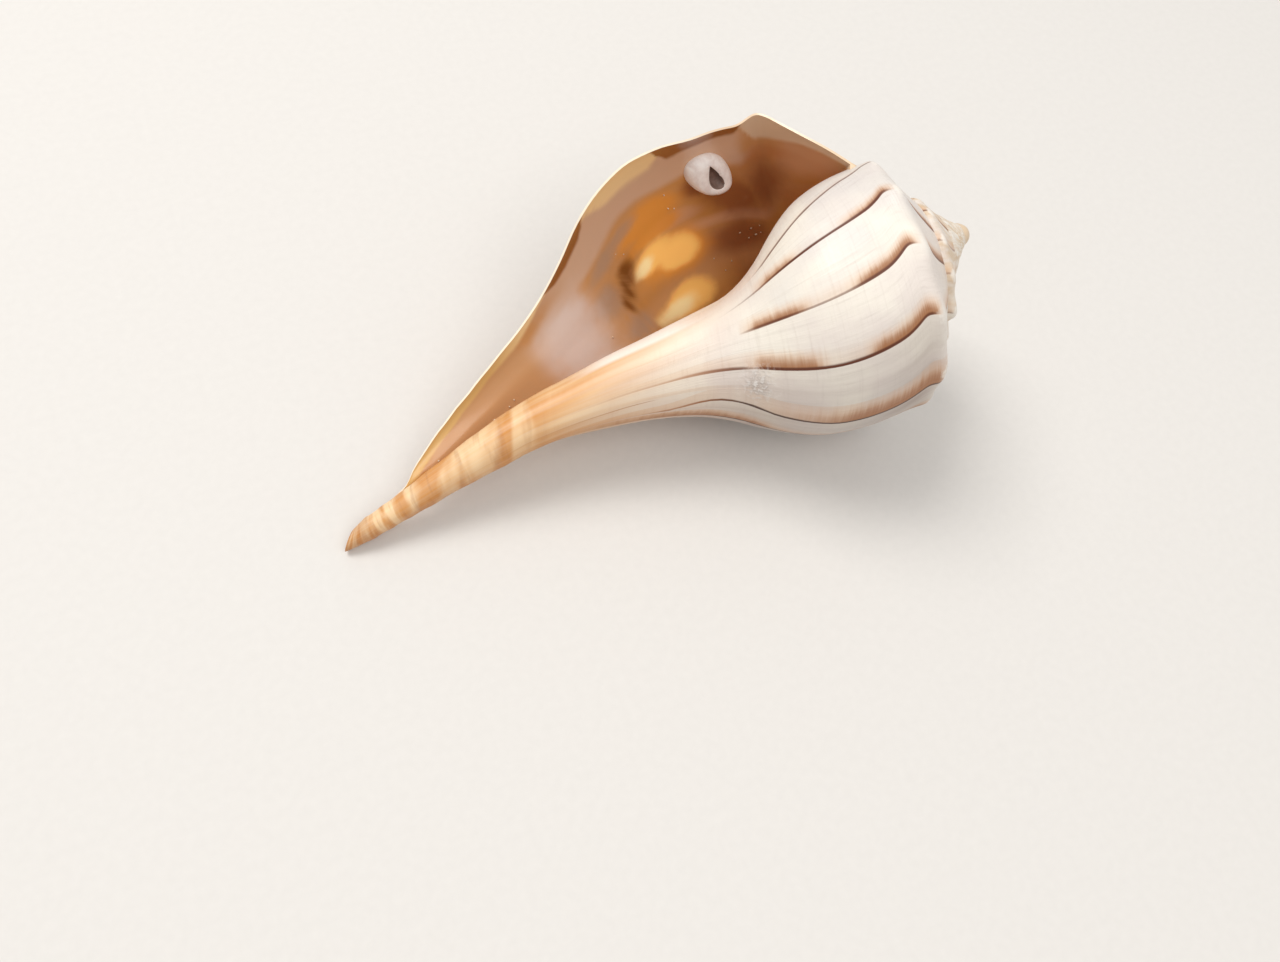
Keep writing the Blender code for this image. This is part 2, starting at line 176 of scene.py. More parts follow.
# %% [markdown]
# The outside is the same outline at every turn, scaled by the growth of a shell: it is 1.9 times as
# large after each turn. Towards the canal the outline runs into the pillar that all whorls share.
# The knobs are a wave along the shoulder, and near the opening the lip flares.

# %% The size and radius of a whorl
OUTLINE_SAMPLES = 800
BELOW_SHOULDER = np.linspace(COVER_ROW - 1, LAST_ROW, OUTLINE_SAMPLES)
WHORL_HEIGHTS = along_rows(OUTLINE_HEIGHTS, BELOW_SHOULDER)
WHORL_RADII = along_rows(OUTLINE_RADII, BELOW_SHOULDER)


def whorl_size(turn):
    """The size of the shell when the lip was at this turn, as a share of its size now."""
    return WHORL_GROWTH**turn * (1 + SWELL_SHARE * bell(turn, SWELL_TURN, SWELL_SPREAD))


def whorl_radius(height, turn):
    """The radius of the whorl below its shoulder, with the pillar it runs into."""
    size = whorl_size(turn)
    own = size * np.interp(-height / size, -WHORL_HEIGHTS, WHORL_RADII, right=0)
    return larger_of(own, pillar_radius(height))


print("the shell was", round(float(whorl_size(-1.0)), 2), "of its size one turn ago")


# %% Knobs and the flare of the lip
KNOB_ROWS = 1.3
KNOB_LIFT = 0.15
NO_KNOB_SIZE, FULL_KNOB_SIZE = 0.05, 0.55
FLARE_POWER = 1.3


def knob_height(turn, row):
    """The knobs are lower on the small whorls of the spire, and a pair of them is taller."""
    tall = TALL_KNOB_HEIGHT * bell(turn, TALL_KNOB_TURN, TALL_KNOB_SPREAD)
    wave = 0.5 + 0.5 * np.cos(2 * math.pi * turn * KNOBS_PER_TURN)
    grown = ease((WHORL_GROWTH**turn - NO_KNOB_SIZE) / (FULL_KNOB_SIZE - NO_KNOB_SIZE))
    return (KNOB_HEIGHT + tall) * grown * wave * bell(row, SHOULDER_ROW, KNOB_ROWS)


def lip_share(turn):
    """1 at the lip, falling to a tenth a quarter turn behind it."""
    return np.exp(-((np.clip(-turn, 0, None) / FLARE_TURNS) ** FLARE_POWER))


print("a knob of the last whorl is", KNOB_HEIGHT, "mm high")


# %% [markdown]
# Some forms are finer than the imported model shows, so they are added here. The edge of the lip is
# wavy and chipped here and there. The old whorls of the spire are worn smooth, low collars run round
# the end of the canal, and its very end is worn to a slant.

# %% Wear, collars and the uneven edge of the lip
SPIRE_WEAR = 0.7
WORN_FROM = -1.65
WEAR_TURNS = 0.6
EDGE_WAVES = [(0.9, 0.10, 0.4), (2.3, 0.07, 1.9), (5.1, 0.04, 0.2)]
WAVY_TURNS = 0.02
COLLARS = [
    (17.6, 0.10), (18.5, 0.14), (19.3, 0.10), (20.4, 0.13), (21.4, 0.08), (22.6, 0.10), (23.8, 0.16),
]
COLLAR_WIDTH = 0.28
END_SLANT = 2.6
SLANT_FROM = 102.5


def spire_wear(turn):
    """How far the old whorls are worn smooth: not at all on the last one, more towards the top."""
    return SPIRE_WEAR * ease((WORN_FROM - turn) / WEAR_TURNS)


def edge_wave(row):
    """How far the lip's edge stands back, in degrees round the shell, less towards both its ends."""
    wave = sum(size * (1 + np.sin(pace * row + start)) for pace, size, start in EDGE_WAVES)
    return wave * ease((MERGE_ROW - 1 - row) / 6) * ease(row / 2)


def collar_height(row):
    """Low collars round the end of the canal, where it stopped growing for a while."""
    return sum(size * bell(row, place, COLLAR_WIDTH) for place, size in COLLARS)


def between_ends(values, share):
    """A straight line from the seam to the row that the next whorl covers."""
    return values[0] + (values[COVER_ROW] - values[0]) * share


def end_slant(height, azimuth):
    """How far the canal's worn end is cut back. It stays longest on the side away from the lip."""
    near_end = ease((-height - SLANT_FROM) / (CANAL_LENGTH - SLANT_FROM))
    return END_SLANT * near_end * (1 - np.cos(azimuth)) / 2


print("the canal has", len(COLLARS), "collars, and its end slants by", END_SLANT, "mm")


# %% The outer surface
def outer_cylindrical(turn, row, knobs, wavy=False):
    """Radius, height and azimuth of the outer surface on the growth line of this turn."""
    turn, row = np.broadcast_arrays(np.asarray(turn, float), np.asarray(row, float))
    here = turn + through(GROWTH_LINE, row) / 360
    if wavy:
        here = here - edge_wave(row) / 360 * np.exp(-np.clip(-turn, 0, None) / WAVY_TURNS)
    size = whorl_size(here)
    full_height = along_rows(OUTLINE_HEIGHTS, row)
    canal_share = ease((row - CANAL_ROW) / (MERGE_ROW - CANAL_ROW))
    height = (1 - canal_share) * size * full_height + canal_share * full_height
    upper = size * along_rows(OUTLINE_RADII, row)
    if wavy:
        share, wear = row / COVER_ROW, spire_wear(here) * (row <= COVER_ROW)
        upper += wear * (size * between_ends(OUTLINE_RADII, share) - upper)
        height += wear * (size * between_ends(OUTLINE_HEIGHTS, share) - height)
    radius = np.where(row <= CANAL_ROW, upper, whorl_radius(height, here))
    radius = radius + BLUNT_WIDTH * np.exp(height / BLUNT_DEPTH)
    radius = radius + through(LIP_FLARE, -height) * lip_share(turn) * (row < MERGE_ROW)
    height = height - through(LIP_SAG, row) * lip_share(turn)
    knob = knobs * knob_height(turn, row)
    if wavy:
        radius = radius + collar_height(row)
        knob = knob * (1 - spire_wear(turn))
    radius = radius + knob
    height = height + KNOB_LIFT * knob
    azimuth = np.radians(LIP_AZIMUTH + 360 * here)
    if wavy:
        height = height + end_slant(height, azimuth)
    return radius, height, azimuth


def outer_point(turn, row, knobs=1.0, wavy=False):
    radius, height, azimuth = outer_cylindrical(turn, row, knobs, wavy)
    x = radius * np.cos(azimuth) + through(CANAL_BEND, -height)
    return np.stack([x, radius * np.sin(azimuth), height], axis=-1)


print("the lip reaches", round(float(np.hypot(*outer_point(0, 9)[:2])), 1), "mm from the axis")


# %% [markdown]
# Inside the opening there are two surfaces. The wall's inner face lies one wall thickness below the
# outside, and the hollow's floor is the outside of the whorl before, under a thin glaze. Both run
# back into the spire until they meet, where nobody can see them.

# %% The inner surface
KNOB_ECHO = 0.03
TURN_STEP, ROW_STEP = 0.001, 0.02
THICKENING_TURNS = 0.1
YOUNG_WALL_SHARE = 0.55
LEAST_ROOM, FREE_ROOM, ROOM_FALL = 1e-6, 99, 0.9


def outward(turn, row, knobs, wavy):
    """The outer surface's normal, from points a little to each side."""
    ahead = outer_point(turn + TURN_STEP, row, knobs, wavy)
    behind = outer_point(turn - TURN_STEP, row, knobs, wavy)
    above = outer_point(turn, np.clip(row - ROW_STEP, 0, LAST_ROW), knobs, wavy)
    below = outer_point(turn, np.clip(row + ROW_STEP, 0, LAST_ROW), knobs, wavy)
    normal = np.cross(ahead - behind, above - below)
    return normal / np.linalg.norm(normal, axis=-1, keepdims=True)


def wall_thickness(turn, row):
    """Thin at the lip, thicker behind it, and gone where the lip runs into the canal."""
    full = LIP_THICKNESS + (WALL_THICKNESS - LIP_THICKNESS) * ease(-turn / THICKENING_TURNS)
    full = full * (YOUNG_WALL_SHARE + (1 - YOUNG_WALL_SHARE) * WHORL_GROWTH**turn)
    radius, height, _ = outer_cylindrical(turn, row, 0.0)
    room = np.maximum(radius - pillar_radius(height), LEAST_ROOM)
    room = np.where(row > CANAL_ROW, room, FREE_ROOM)
    return full * (1 - np.exp(-ROOM_FALL * room / full))


def inner_point(turn, row, wavy=False):
    """The inner surface. It is smooth, but in a wavy wall it follows the knob at the thin lip."""
    turn, row = np.broadcast_arrays(np.asarray(turn, float), np.asarray(row, float))
    knobs = wavy * np.exp(-np.clip(-turn, 0, None) / KNOB_ECHO)
    thickness = wall_thickness(turn, row)
    return outer_point(turn, row, knobs, wavy) - outward(turn, row, knobs, wavy) * thickness[..., None]


print("the wall is", round(float(wall_thickness(-0.2, 9)), 2), "mm thick a fifth of a turn behind the lip")


# %% How far back the hollow reaches
HOLLOW_SAMPLES = 400
GAP_TURNS = 0.05


def radius_about_pillar(points):
    return np.hypot(points[..., 0] - through(CANAL_BEND, -points[..., 2]), points[..., 1])


def hollow_turns(row, most, on_floor):
    """How far back the hollow reaches along a row, until the wall and the pillar close on it."""
    back = np.linspace(0, most, HOLLOW_SAMPLES)
    if row <= CANAL_ROW + 1:
        return most
    rows = np.full_like(back, row)
    lead = through(GROWTH_LINE, row) / 360
    if on_floor:
        floor, height, _ = outer_cylindrical(-1 - back, rows, 0.0)
        outside = whorl_radius(height, lead - back) + through(LIP_FLARE, -height) * lip_share(-back)
        wall = outside - wall_thickness(-back, rows)
    else:
        inside = inner_point(-back, rows)
        wall = radius_about_pillar(inside)
        floor = whorl_radius(inside[:, 2], lead - 1 - back)
    needed = LEAST_GAP * ease(back / GAP_TURNS) * min(1, (MERGE_ROW - row) / 2)
    closed = np.nonzero(wall - floor <= needed)[0]
    return most if len(closed) == 0 else back[max(closed[0] - 1, 0)]


print("along row 12 the hollow reaches", round(float(hollow_turns(12.0, 1.2, False)), 2), "turns back")


# %% [markdown]
# The whole shell is one closed wall, so it is one mesh: the outside, the lip's narrow edge, and the
# inside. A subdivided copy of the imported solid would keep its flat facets. Instead the same formulas
# are read four times as finely. Each corner of a face keeps its turn and row in a UV map, because
# along the seam one point belongs to two whorls and so has two places in the growth of the shell.

# %% Collect the faces of the wall, with each corner's turn and row
FINE = 4
OUTSIDE, INSIDE = 0, 1
DOME_RINGS, DOME_POWER, DOME_ROUNDING = 3, 2.6, 0.75
HOLLOW_END = (-1.2, 6)


class Surface:
    """Points and faces, with the growth coordinates of every corner and the finish of every face."""

    def __init__(self):
        self.points = np.empty((0, 3))
        self.faces = []
        self.growth = []
        self.finish = []

    def add(self, points):
        first = len(self.points)
        self.points = np.concatenate([self.points, points.reshape(-1, 3)])
        return first + np.arange(points[..., 0].size).reshape(points.shape[:-1])

    def face(self, corners, growth, finish):
        kept = [i for i, corner in enumerate(corners) if corner not in corners[:i]]
        if len(kept) > 2:
            self.faces.append([corners[i] for i in kept])
            self.growth += [growth[i] for i in kept]
            self.finish.append(finish)

    def patch(self, index, turn, row, finish, keep=None):
        """Faces between the neighbouring columns and rows of a grid."""
        turn, row = np.broadcast_arrays(turn, row)

        def corners(grid):
            return np.stack([grid[:-1, :-1], grid[:-1, 1:], grid[1:, 1:], grid[1:, :-1]], axis=-1)

        chosen = np.ones((index.shape[0] - 1, index.shape[1] - 1), bool) if keep is None else keep
        growth = np.stack([corners(turn), corners(row)], axis=-1)[chosen].tolist()
        for one, its_growth in zip(corners(index)[chosen].tolist(), growth):
            self.face(one, its_growth, finish)


# %% Build the wall
class Wall(Surface):
    """The shell's wall as one closed surface. fine is how many steps each row and column takes."""

    def __init__(self, fine, wavy):
        super().__init__()
        self.fine, self.wavy = fine, wavy
        self.per_turn = COLUMNS_PER_TURN * fine
        self.lead = SEAM_COLUMNS * fine
        self.last = WHORLS * self.per_turn
        self.first_full = self.last - self.per_turn
        self.cover, self.floor_row = COVER_ROW * fine, FLOOR_ROW * fine
        self.merge, self.tip = MERGE_ROW * fine, LAST_ROW * fine
        self.rows = np.arange(self.tip + 1) / fine
        self.hollow = HOLLOW_COLUMNS * fine
        self.outside()
        self.canal_end()
        self.spire_top(DOME_RINGS * fine)
        self.inside()

    def outside(self):
        """Every whorl down to the line that the next one covers, and the last one whole."""
        grid = np.full((self.last + 1, self.tip + 1), -1)
        turn = (np.arange(self.last + 1) - self.last) / self.per_turn
        spire = self.first_full
        grid[:spire, : self.cover + 1] = self.add(
            outer_point(turn[:spire, None], self.rows[: self.cover + 1], 1.0, self.wavy)
        )
        grid[spire:] = self.add(outer_point(turn[spire:, None], self.rows, 1.0, self.wavy))
        for column in range(self.per_turn - self.lead, self.last + 1):
            grid[column, 0] = grid[column - self.per_turn + self.lead, self.cover]
        grid[self.last, self.merge :] = grid[spire, self.merge :]
        top = slice(0, self.cover + 1)
        self.patch(grid[: spire + 1, top], turn[: spire + 1, None], self.rows[top], OUTSIDE)
        keep = np.ones((self.per_turn, self.tip), bool)
        keep[: self.lead, self.cover : self.floor_row] = False
        self.patch(grid[spire:], turn[spire:, None], self.rows, OUTSIDE, keep)
        self.grid = grid

    def canal_end(self):
        ring = self.grid[self.first_full : self.last, self.tip].tolist()
        bend = float(through(CANAL_BEND, CANAL_LENGTH))
        tip = int(self.add(np.array([[bend, 0, -CANAL_LENGTH + self.wavy * END_SLANT / 2]]))[0])
        for i, one in enumerate(ring):
            turn = i / self.per_turn - 1
            self.face(
                [one, tip, ring[(i + 1) % len(ring)]],
                [(turn, LAST_ROW), (turn, LAST_ROW + 1), (turn, LAST_ROW)],
                OUTSIDE,
            )

    def spire_top(self, rings):
        """A small dome over the start of the first whorl."""
        loop = self.grid[: self.per_turn - self.lead + 1, 0].tolist()
        loop += self.grid[0, self.cover - 1 : 0 : -1].tolist()
        rim = self.points[loop]
        ring = loop
        growth = [(0.5 / KNOBS_PER_TURN - WHORLS, 2)] * 4
        for step in range(1, rings):
            share = 1 - step / rings
            points = rim * share
            rise = (1 - share**DOME_POWER) ** DOME_ROUNDING
            points[:, 2] = rim[:, 2] + (TOP_HEIGHT - rim[:, 2]) * rise
            following = self.add(points).tolist()
            for i in range(len(loop)):
                j = (i + 1) % len(loop)
                self.face([ring[i], ring[j], following[j], following[i]], growth, OUTSIDE)
            ring = following
        top = int(self.add(np.array([[0, 0, TOP_HEIGHT]]))[0])
        for i in range(len(ring)):
            self.face([ring[i], ring[(i + 1) % len(ring)], top], growth, OUTSIDE)

    def inside(self):
        """The hollow: the wall's inner face, and the whorl before as its floor."""
        rows = self.rows[: self.merge + 1]
        floor_columns = self.hollow - self.lead
        most = self.hollow / self.per_turn
        wall_turns = [hollow_turns(row, most, False) for row in rows[:-1]]
        floor_turns = [hollow_turns(row, floor_columns / self.per_turn, True) for row in rows[:-1]]
        wall_turns = np.minimum.accumulate(wall_turns + wall_turns[-1:])
        floor_turns = np.minimum.accumulate(floor_turns + floor_turns[-1:])
        pinch = self.grid[self.first_full, self.merge]
        lower = slice(self.floor_row, self.merge)
        back = np.linspace(0, 1, floor_columns + 1)[:, None]
        floor_turn = -1 - floor_turns * back
        floor = np.full((floor_columns + 1, self.merge + 1), pinch)
        floor[0] = self.grid[self.first_full, : self.merge + 1]
        floor[1:, lower] = self.add(outer_point(floor_turn[1:, lower], rows[lower], 0.0, self.wavy))
        wall_turn = -wall_turns * np.linspace(0, 1, self.hollow + 1)[:, None]
        wall = np.full((self.hollow + 1, self.merge + 1), pinch)
        seen = slice(1, self.merge)
        wall[:, seen] = self.add(inner_point(wall_turn[:, seen], rows[seen], self.wavy))
        for column in range(self.hollow + 1):
            if column <= self.lead:
                wall[column, 0] = self.grid[self.first_full + self.lead - column, self.floor_row]
            else:
                wall[column, 0] = floor[column - self.lead, self.floor_row]
        self.patch(wall, wall_turn, rows, INSIDE)
        under = slice(self.floor_row, self.merge + 1)
        self.patch(floor[::-1, under], floor_turn[::-1, under], rows[under], INSIDE)
        edge = np.stack([self.grid[self.last, : self.merge + 1], wall[0]])
        self.patch(edge, np.zeros((2, 1)), rows, INSIDE)
        self.close_hollow(wall[-1].tolist(), floor[-1, self.floor_row :].tolist())

    def close_hollow(self, wall, floor):
        """The far end of the hollow, deep in the spire, joins its wall to its floor."""
        i = j = 0
        growth = [HOLLOW_END] * 3
        while i < len(wall) - 1 or j < len(floor) - 1:
            if self.apart(wall, i + 1, floor, j) < self.apart(wall, i, floor, j + 1):
                self.face([wall[i], wall[i + 1], floor[j]], growth, INSIDE)
                i += 1
            else:
                self.face([wall[i], floor[j + 1], floor[j]], growth, INSIDE)
                j += 1

    def apart(self, wall, i, floor, j):
        if i >= len(wall) or j >= len(floor):
            return math.inf
        return np.linalg.norm(self.points[wall[i]] - self.points[floor[j]])


wall = Wall(FINE, wavy=True)
print("the wall has", len(wall.points), "points and", len(wall.faces), "faces")


# %% [markdown]
# The shell rests on the rounded back of its last whorl, worn to a small flat spot, and on the end of
# its canal. The turn that lays it down is found from the coarse wall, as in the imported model, so
# that both lie in the same place.

# %% Lay the shell on its back
MOST_TILT = 30
TILT_HALVINGS = 40
CANAL_SHARE, BACK_SHARE = 0.9, 0.6


def laid_down(tilt):
    """Rows that turn the shell's own frame to lie on its back, the spire towards +X."""
    side = math.radians(RESTING_AZIMUTH)
    spire, down, across = np.array([
        (math.cos(tilt), 0, math.sin(tilt)),
        (math.sin(tilt), 0, -math.cos(tilt)),
        (0, 1, 0),
    ])
    own_down = (math.cos(side), math.sin(side), 0)
    own_across = (-math.sin(side), math.cos(side), 0)
    return np.outer(spire, (0, 0, 1)) + np.outer(down, own_down) + np.outer(across, own_across)


def resting_place(points):
    """The turn and shift that rest the shell on its back and on the end of its canal."""
    low, high = 0.0, math.radians(MOST_TILT)
    for _ in range(TILT_HALVINGS):
        tilt = (low + high) / 2
        heights = points @ laid_down(tilt)[2]
        canal = heights[points[:, 2] < -CANAL_SHARE * CANAL_LENGTH].min()
        back = heights[points[:, 2] > -BACK_SHARE * CANAL_LENGTH].min()
        low, high = (low, tilt) if back > canal - FLAT_SPOT_DEPTH else (tilt, high)
    turn = laid_down(tilt)
    laid = points @ turn.T
    middle = (laid.min(axis=0) + laid.max(axis=0)) / 2
    return turn, np.array([-middle[0], -middle[1], -canal])


TURN, SHIFT = resting_place(Wall(1, wavy=False).points)


def on_the_ground(points):
    """Points of the shell's own frame in the world, in metres, cut flat where they would go under."""
    placed = points @ TURN.T + SHIFT
    placed[:, 2] = np.maximum(placed[:, 2], 0)
    return placed * MM


print("spire direction in the world:", np.round(TURN[:, 2], 3))

# %% [markdown]
# The camera stands where a phone was held over the shell, about 15 cm from it, so near things look
# larger. Its place is easiest to give in the shell's own frame: how far it is from the middle of the
# shell, how far it is swung towards the canal, where it looks, and how it is rolled. The same turn
# that lays the shell down then carries the camera into the world.

# %% Camera
CAMERA_DISTANCE = 150.9
CAMERA_SWING = 0.037
SHELL_MIDDLE = (0, 0, -55.0)
LOOKS_AT = (14.85, 0, -61.66)
CAMERA_ROLL = 1.152
FOCAL_SHARE = 962 / 1280
SENSOR_WIDTH = 36.0
NEAREST_SEEN = 0.005


def unit(vector):
    vector = np.array(vector, float)
    return vector / np.linalg.norm(vector)


def add_camera():
    away = np.array([0, -math.cos(CAMERA_SWING), -math.sin(CAMERA_SWING)])
    place = np.array(SHELL_MIDDLE) + CAMERA_DISTANCE * away
    forward = unit(np.array(LOOKS_AT) - place)
    level = unit(np.cross(forward, (0, 0, 1)))
    upright = np.cross(level, forward)
    right = math.cos(CAMERA_ROLL) * level + math.sin(CAMERA_ROLL) * upright
    up = math.cos(CAMERA_ROLL) * upright - math.sin(CAMERA_ROLL) * level
    made = bpy.data.objects.new("camera", bpy.data.cameras.new("camera"))
    bpy.context.scene.collection.objects.link(made)
    matrix = np.eye(4)
    matrix[:3, :3] = np.stack([TURN @ right, TURN @ up, TURN @ -forward], axis=1)
    matrix[:3, 3] = (TURN @ place + SHIFT) * MM
    made.matrix_world = Matrix(matrix.tolist())
    made.data.sensor_width = SENSOR_WIDTH
    made.data.lens = SENSOR_WIDTH * FOCAL_SHARE
    made.data.clip_start = NEAREST_SEEN
    bpy.context.scene.camera = made
    return made


camera = add_camera()
bpy.context.view_layer.update()
print("camera stands at", [round(value, 3) for value in camera.matrix_world.translation])


# %% [markdown]
# A mesh object takes plain lists of points and faces. The turn and row of every corner go into a UV
# map named growth, and each painted field becomes a number on every corner that a material can read.
# A field is made from smooth curves, soft bands and soft oval spots. Painting it by hand would take
# a picture, and these few numbers are easier to change.

# %% Mesh objects and fields
def mesh_object(name, points, faces, finishes):
    mesh = bpy.data.meshes.new(name)
    mesh.from_pydata(points.tolist(), [], faces)
    for finish in finishes:
        mesh.materials.append(finish)
    made = bpy.data.objects.new(name, mesh)
    bpy.context.scene.collection.objects.link(made)
    return made


def paint_corners(mesh, name, values):
    layer = mesh.attributes.new(name, "FLOAT", "CORNER")
    layer.data.foreach_set("value", np.asarray(values, np.float32))


def between(x, low, high, soft):
    """1 from low to high, fading over a width of soft at each end."""
    return ease((x - low) / soft + 0.5) * ease((high - x) / soft + 0.5)


SPOT_SPREAD = 1.2


def spot(turn, row, place, size):
    """A soft oval spot on the surface: 1 in its middle, 0.5 at its size, 0 well outside."""
    return bell(np.hypot((turn - place[0]) / size[0], (row - place[1]) / size[1]), 0, SPOT_SPREAD)


# %% [markdown]
# The markings of a lightning whelk are dark streaks. Each one is an old lip of the shell, one for
# every knob, with soft brown on the side that was there before it. Some fade halfway down. An image
# would stretch over the curves and end where its own view ends. Here each streak is told by a few
# strengths down its length, and the material draws it as a crisp line with a soft brown side. The
# streaks that are seen best are told one by one, and the others share plain strengths.

# %% The streaks, one for each knob of the last whorl
STREAKS_PER_TURN = KNOBS_PER_TURN


class Streak:
    """Strengths by outline row: of the dark line, of the soft brown beside it, and its drift in turns."""

    def __init__(self, line, shade, reach, drift=((0, 0), (26, 0))):
        self.line, self.shade, self.reach, self.drift = line, shade, reach, drift


STREAKS = {
    -11: Streak(
        [(0, 0.1), (3.5, 0.2), (4.2, 0.8), (11.8, 0.8), (12.4, 0)],
        [(0, 0.1), (5, 0.12), (12, 0.1), (13, 0)],
        1.5,
        [(4, 0), (8, 0), (10, 0.012), (12, 0.03)],
    ),
    -10: Streak(
        [
            (0, 0.8), (3.4, 0.9), (4.0, 0), (5.1, 0), (6.0, 0.8), (7, 1), (11.2, 1), (12.2, 0.7), (13, 0.2),
            (13.4, 0),
        ],
        [
            (0, 1), (3, 0.9), (4.0, 0), (5.1, 0.2), (6.2, 0.8), (8.8, 0.6), (9.6, 0.05), (10.9, 0.1),
            (11.4, 0.8), (12.0, 0.8), (12.4, 0),
        ],
        2.0,
    ),
    -9: Streak(
        [
            (0, 0.9), (3.4, 0.7), (4.1, 0), (5.1, 0), (6.0, 0.8), (7, 1), (9.2, 0.9), (10, 0.6), (11.2, 0.6),
            (11.8, 0.9), (12.5, 0.8), (13.0, 0),
        ],
        [
            (0, 1), (3.2, 0.8), (4.1, 0), (5.2, 0.2), (6.0, 0.9), (8.8, 1), (9.8, 0.3), (10.9, 0.2),
            (11.6, 0.9), (12.4, 0.9), (12.9, 0),
        ],
        2.3,
        [(0, -0.004), (26, -0.004)],
    ),
    -8: Streak(
        [
            (0, 0.5), (3.6, 0.3), (4.2, 0), (5.1, 0), (5.8, 0.9), (12.4, 1), (12.7, 0.4), (13.1, 0.9),
            (15, 0.45), (16.5, 0.1), (18, 0),
        ],
        [
            (0, 0.6), (3.6, 0.3), (4.4, 0), (5.4, 0.8), (6.4, 1), (9.0, 1), (9.8, 0.2), (10.8, 0.15),
            (11.4, 0.9), (12.4, 0.9), (12.9, 0.2), (15, 0.2), (17, 0),
        ],
        3.1,
        [(0, -0.003), (12, -0.003), (15, -0.015), (18, -0.03)],
    ),
    -7: Streak(
        [(0, 0.3), (4.5, 0.4), (5.2, 0.9), (13.5, 1), (15, 0.6), (17, 0.2), (19, 0)],
        [
            (0, 0.3), (4.6, 0.6), (5.6, 1), (9.5, 1), (11, 0.6), (12.3, 0.3), (13, 0.1), (15, 0.3), (18, 0.3),
            (20, 0),
        ],
        6.5,
        [(0, 0.014), (12, 0.02), (13.5, 0.0), (15, 0.04), (18, 0.05)],
    ),
}
PLAIN_LINE = [(0, 0.9), (3.6, 0.7), (4.5, 0.3), (5.4, 0.9), (13, 1), (14.5, 0.6), (16.5, 0.15), (18.5, 0)]
PLAIN_SHADE = [
    (0, 1.0), (1.5, 0.9), (3.5, 0.35), (4.6, 0.1), (5.6, 0.8), (9.5, 1), (10.6, 0.35), (11.8, 0.4),
    (12.6, 0.9), (14.5, 0.8), (17, 0.4), (19, 0),
]
PLAIN_REACH = 5.0
PLAIN_STREAKS = WHORLS * STREAKS_PER_TURN
random = np.random.default_rng(11)
PLAIN_STRENGTHS = random.uniform(0.6, 1.0, PLAIN_STREAKS)
PLAIN_DRIFTS = random.uniform(-0.006, 0.006, PLAIN_STREAKS)
EARLIER_FADE = 0.75


def plain_fade(number):
    """Plain streaks are paler one turn back, and two turns back they are worn away."""
    if number > -STREAKS_PER_TURN:
        return 1.0
    return EARLIER_FADE if number > -2 * STREAKS_PER_TURN else 0.0


def streak_fields(turn, row):
    """Line, shade, reach and drift of the streak nearest to each corner."""
    number = np.round(turn * STREAKS_PER_TURN).astype(int)
    line, shade, reach, drift = (np.zeros_like(turn) for _ in range(4))
    for one in np.unique(number):
        here = number == one
        rows = row[here]
        if one in STREAKS:
            told = STREAKS[one]
            line[here], shade[here] = through(told.line, rows), through(told.shade, rows)
            reach[here], drift[here] = told.reach, through(told.drift, rows)
        else:
            strength = PLAIN_STRENGTHS[one] * plain_fade(one)
            line[here] = through(PLAIN_LINE, rows) * strength
            shade[here] = through(PLAIN_SHADE, rows) * strength
            reach[here] = PLAIN_REACH * WHORL_GROWTH ** (one / STREAKS_PER_TURN)
            drift[here] = PLAIN_DRIFTS[one]
    return line, shade, reach, drift


print("streaks told one by one:", sorted(STREAKS))

# %% [markdown]
# Broader colours lie under the streaks: a brown band on the back of the shell, a grey-brown tint on
# the side of the last whorl, partly its own and partly painted shade, a painted shade of warm rust
# low on that side and on the canal, orange tan on the canal and a paler tan on the spire. The fold on
# the pillar is white, partly as a painted highlight along it. The knobs and one scar are white too,
# where they are worn. Each is a soft field over turn and row.

# %% Fields of the outside
SCAR_PLACE, SCAR_SIZE = (-0.635, 12.65), (0.034, 0.28)
GREY_TINT_AND_SHADE_BY_TURN = [
    (-1.0, 0.1), (-0.72, 0.0), (-0.66, 0.35), (-0.60, 0.55), (-0.565, 0.65), (-0.555, 0.9), (0, 0.5),
]
PAINTED_SHADE_BY_TURN = [(-1.0, 0.1), (-0.75, 0.0), (-0.60, 0.55), (-0.50, 1.0), (0, 1.0)]
TAN_BY_ROW = [(12.6, 0), (14.2, 0.28), (15.6, 0.7), (17, 1), (26, 1)]


def outside_fields(turn, row):
    near_knob = np.cos(2 * math.pi * turn * KNOBS_PER_TURN) * 0.5 + 0.5
    back = ease((turn + 0.50) / 0.08)
    earlier = ease((-0.97 - turn) / 0.06)
    tint_and_shade_rows = 0.7 * between(row, 4.6, 13.5, 3.0) + 0.5 * bell(row, 6.8, 1.8)
    worn_knobs = near_knob**2 * bell(row, SHOULDER_ROW, 0.9) * (0.75 + 0.25 * earlier)
    return {
        "band": back * (bell(row, 7.6, 2.3) + 0.75 * bell(row, 14.2, 1.5)),
        # The grey-brown on the side of the last whorl is partly the shell's own tint and partly painted
        # shade, where the whorl turns from the light.
        "grey_tint_and_shade": through(GREY_TINT_AND_SHADE_BY_TURN, turn) * tint_and_shade_rows,
        "tan": through(TAN_BY_ROW, row + 0.9 * np.sin(2 * math.pi * (turn + 0.30))),
        # The white fold on the pillar: partly the callus's own white, partly a painted highlight along it.
        "fold_and_highlight": between(turn, -1.2, -0.872, 0.03) * between(row, 14.2, 16.6, 1.2),
        # Painted shade: rust laid low on the side of the last whorl and on its canal, where they turn away
        # from the light.
        "painted_shade": through(PAINTED_SHADE_BY_TURN, turn) * ease((row - 11) / 3),
        "ramp": earlier,
        "worn": np.maximum(worn_knobs, 0.35 * bell(row, SHOULDER_ROW + 0.2, 0.7)),
        "scar": spot(turn, row, SCAR_PLACE, SCAR_SIZE),
    }


print("the scar lies", -SCAR_PLACE[0], "turns behind the lip, at row", SCAR_PLACE[1])
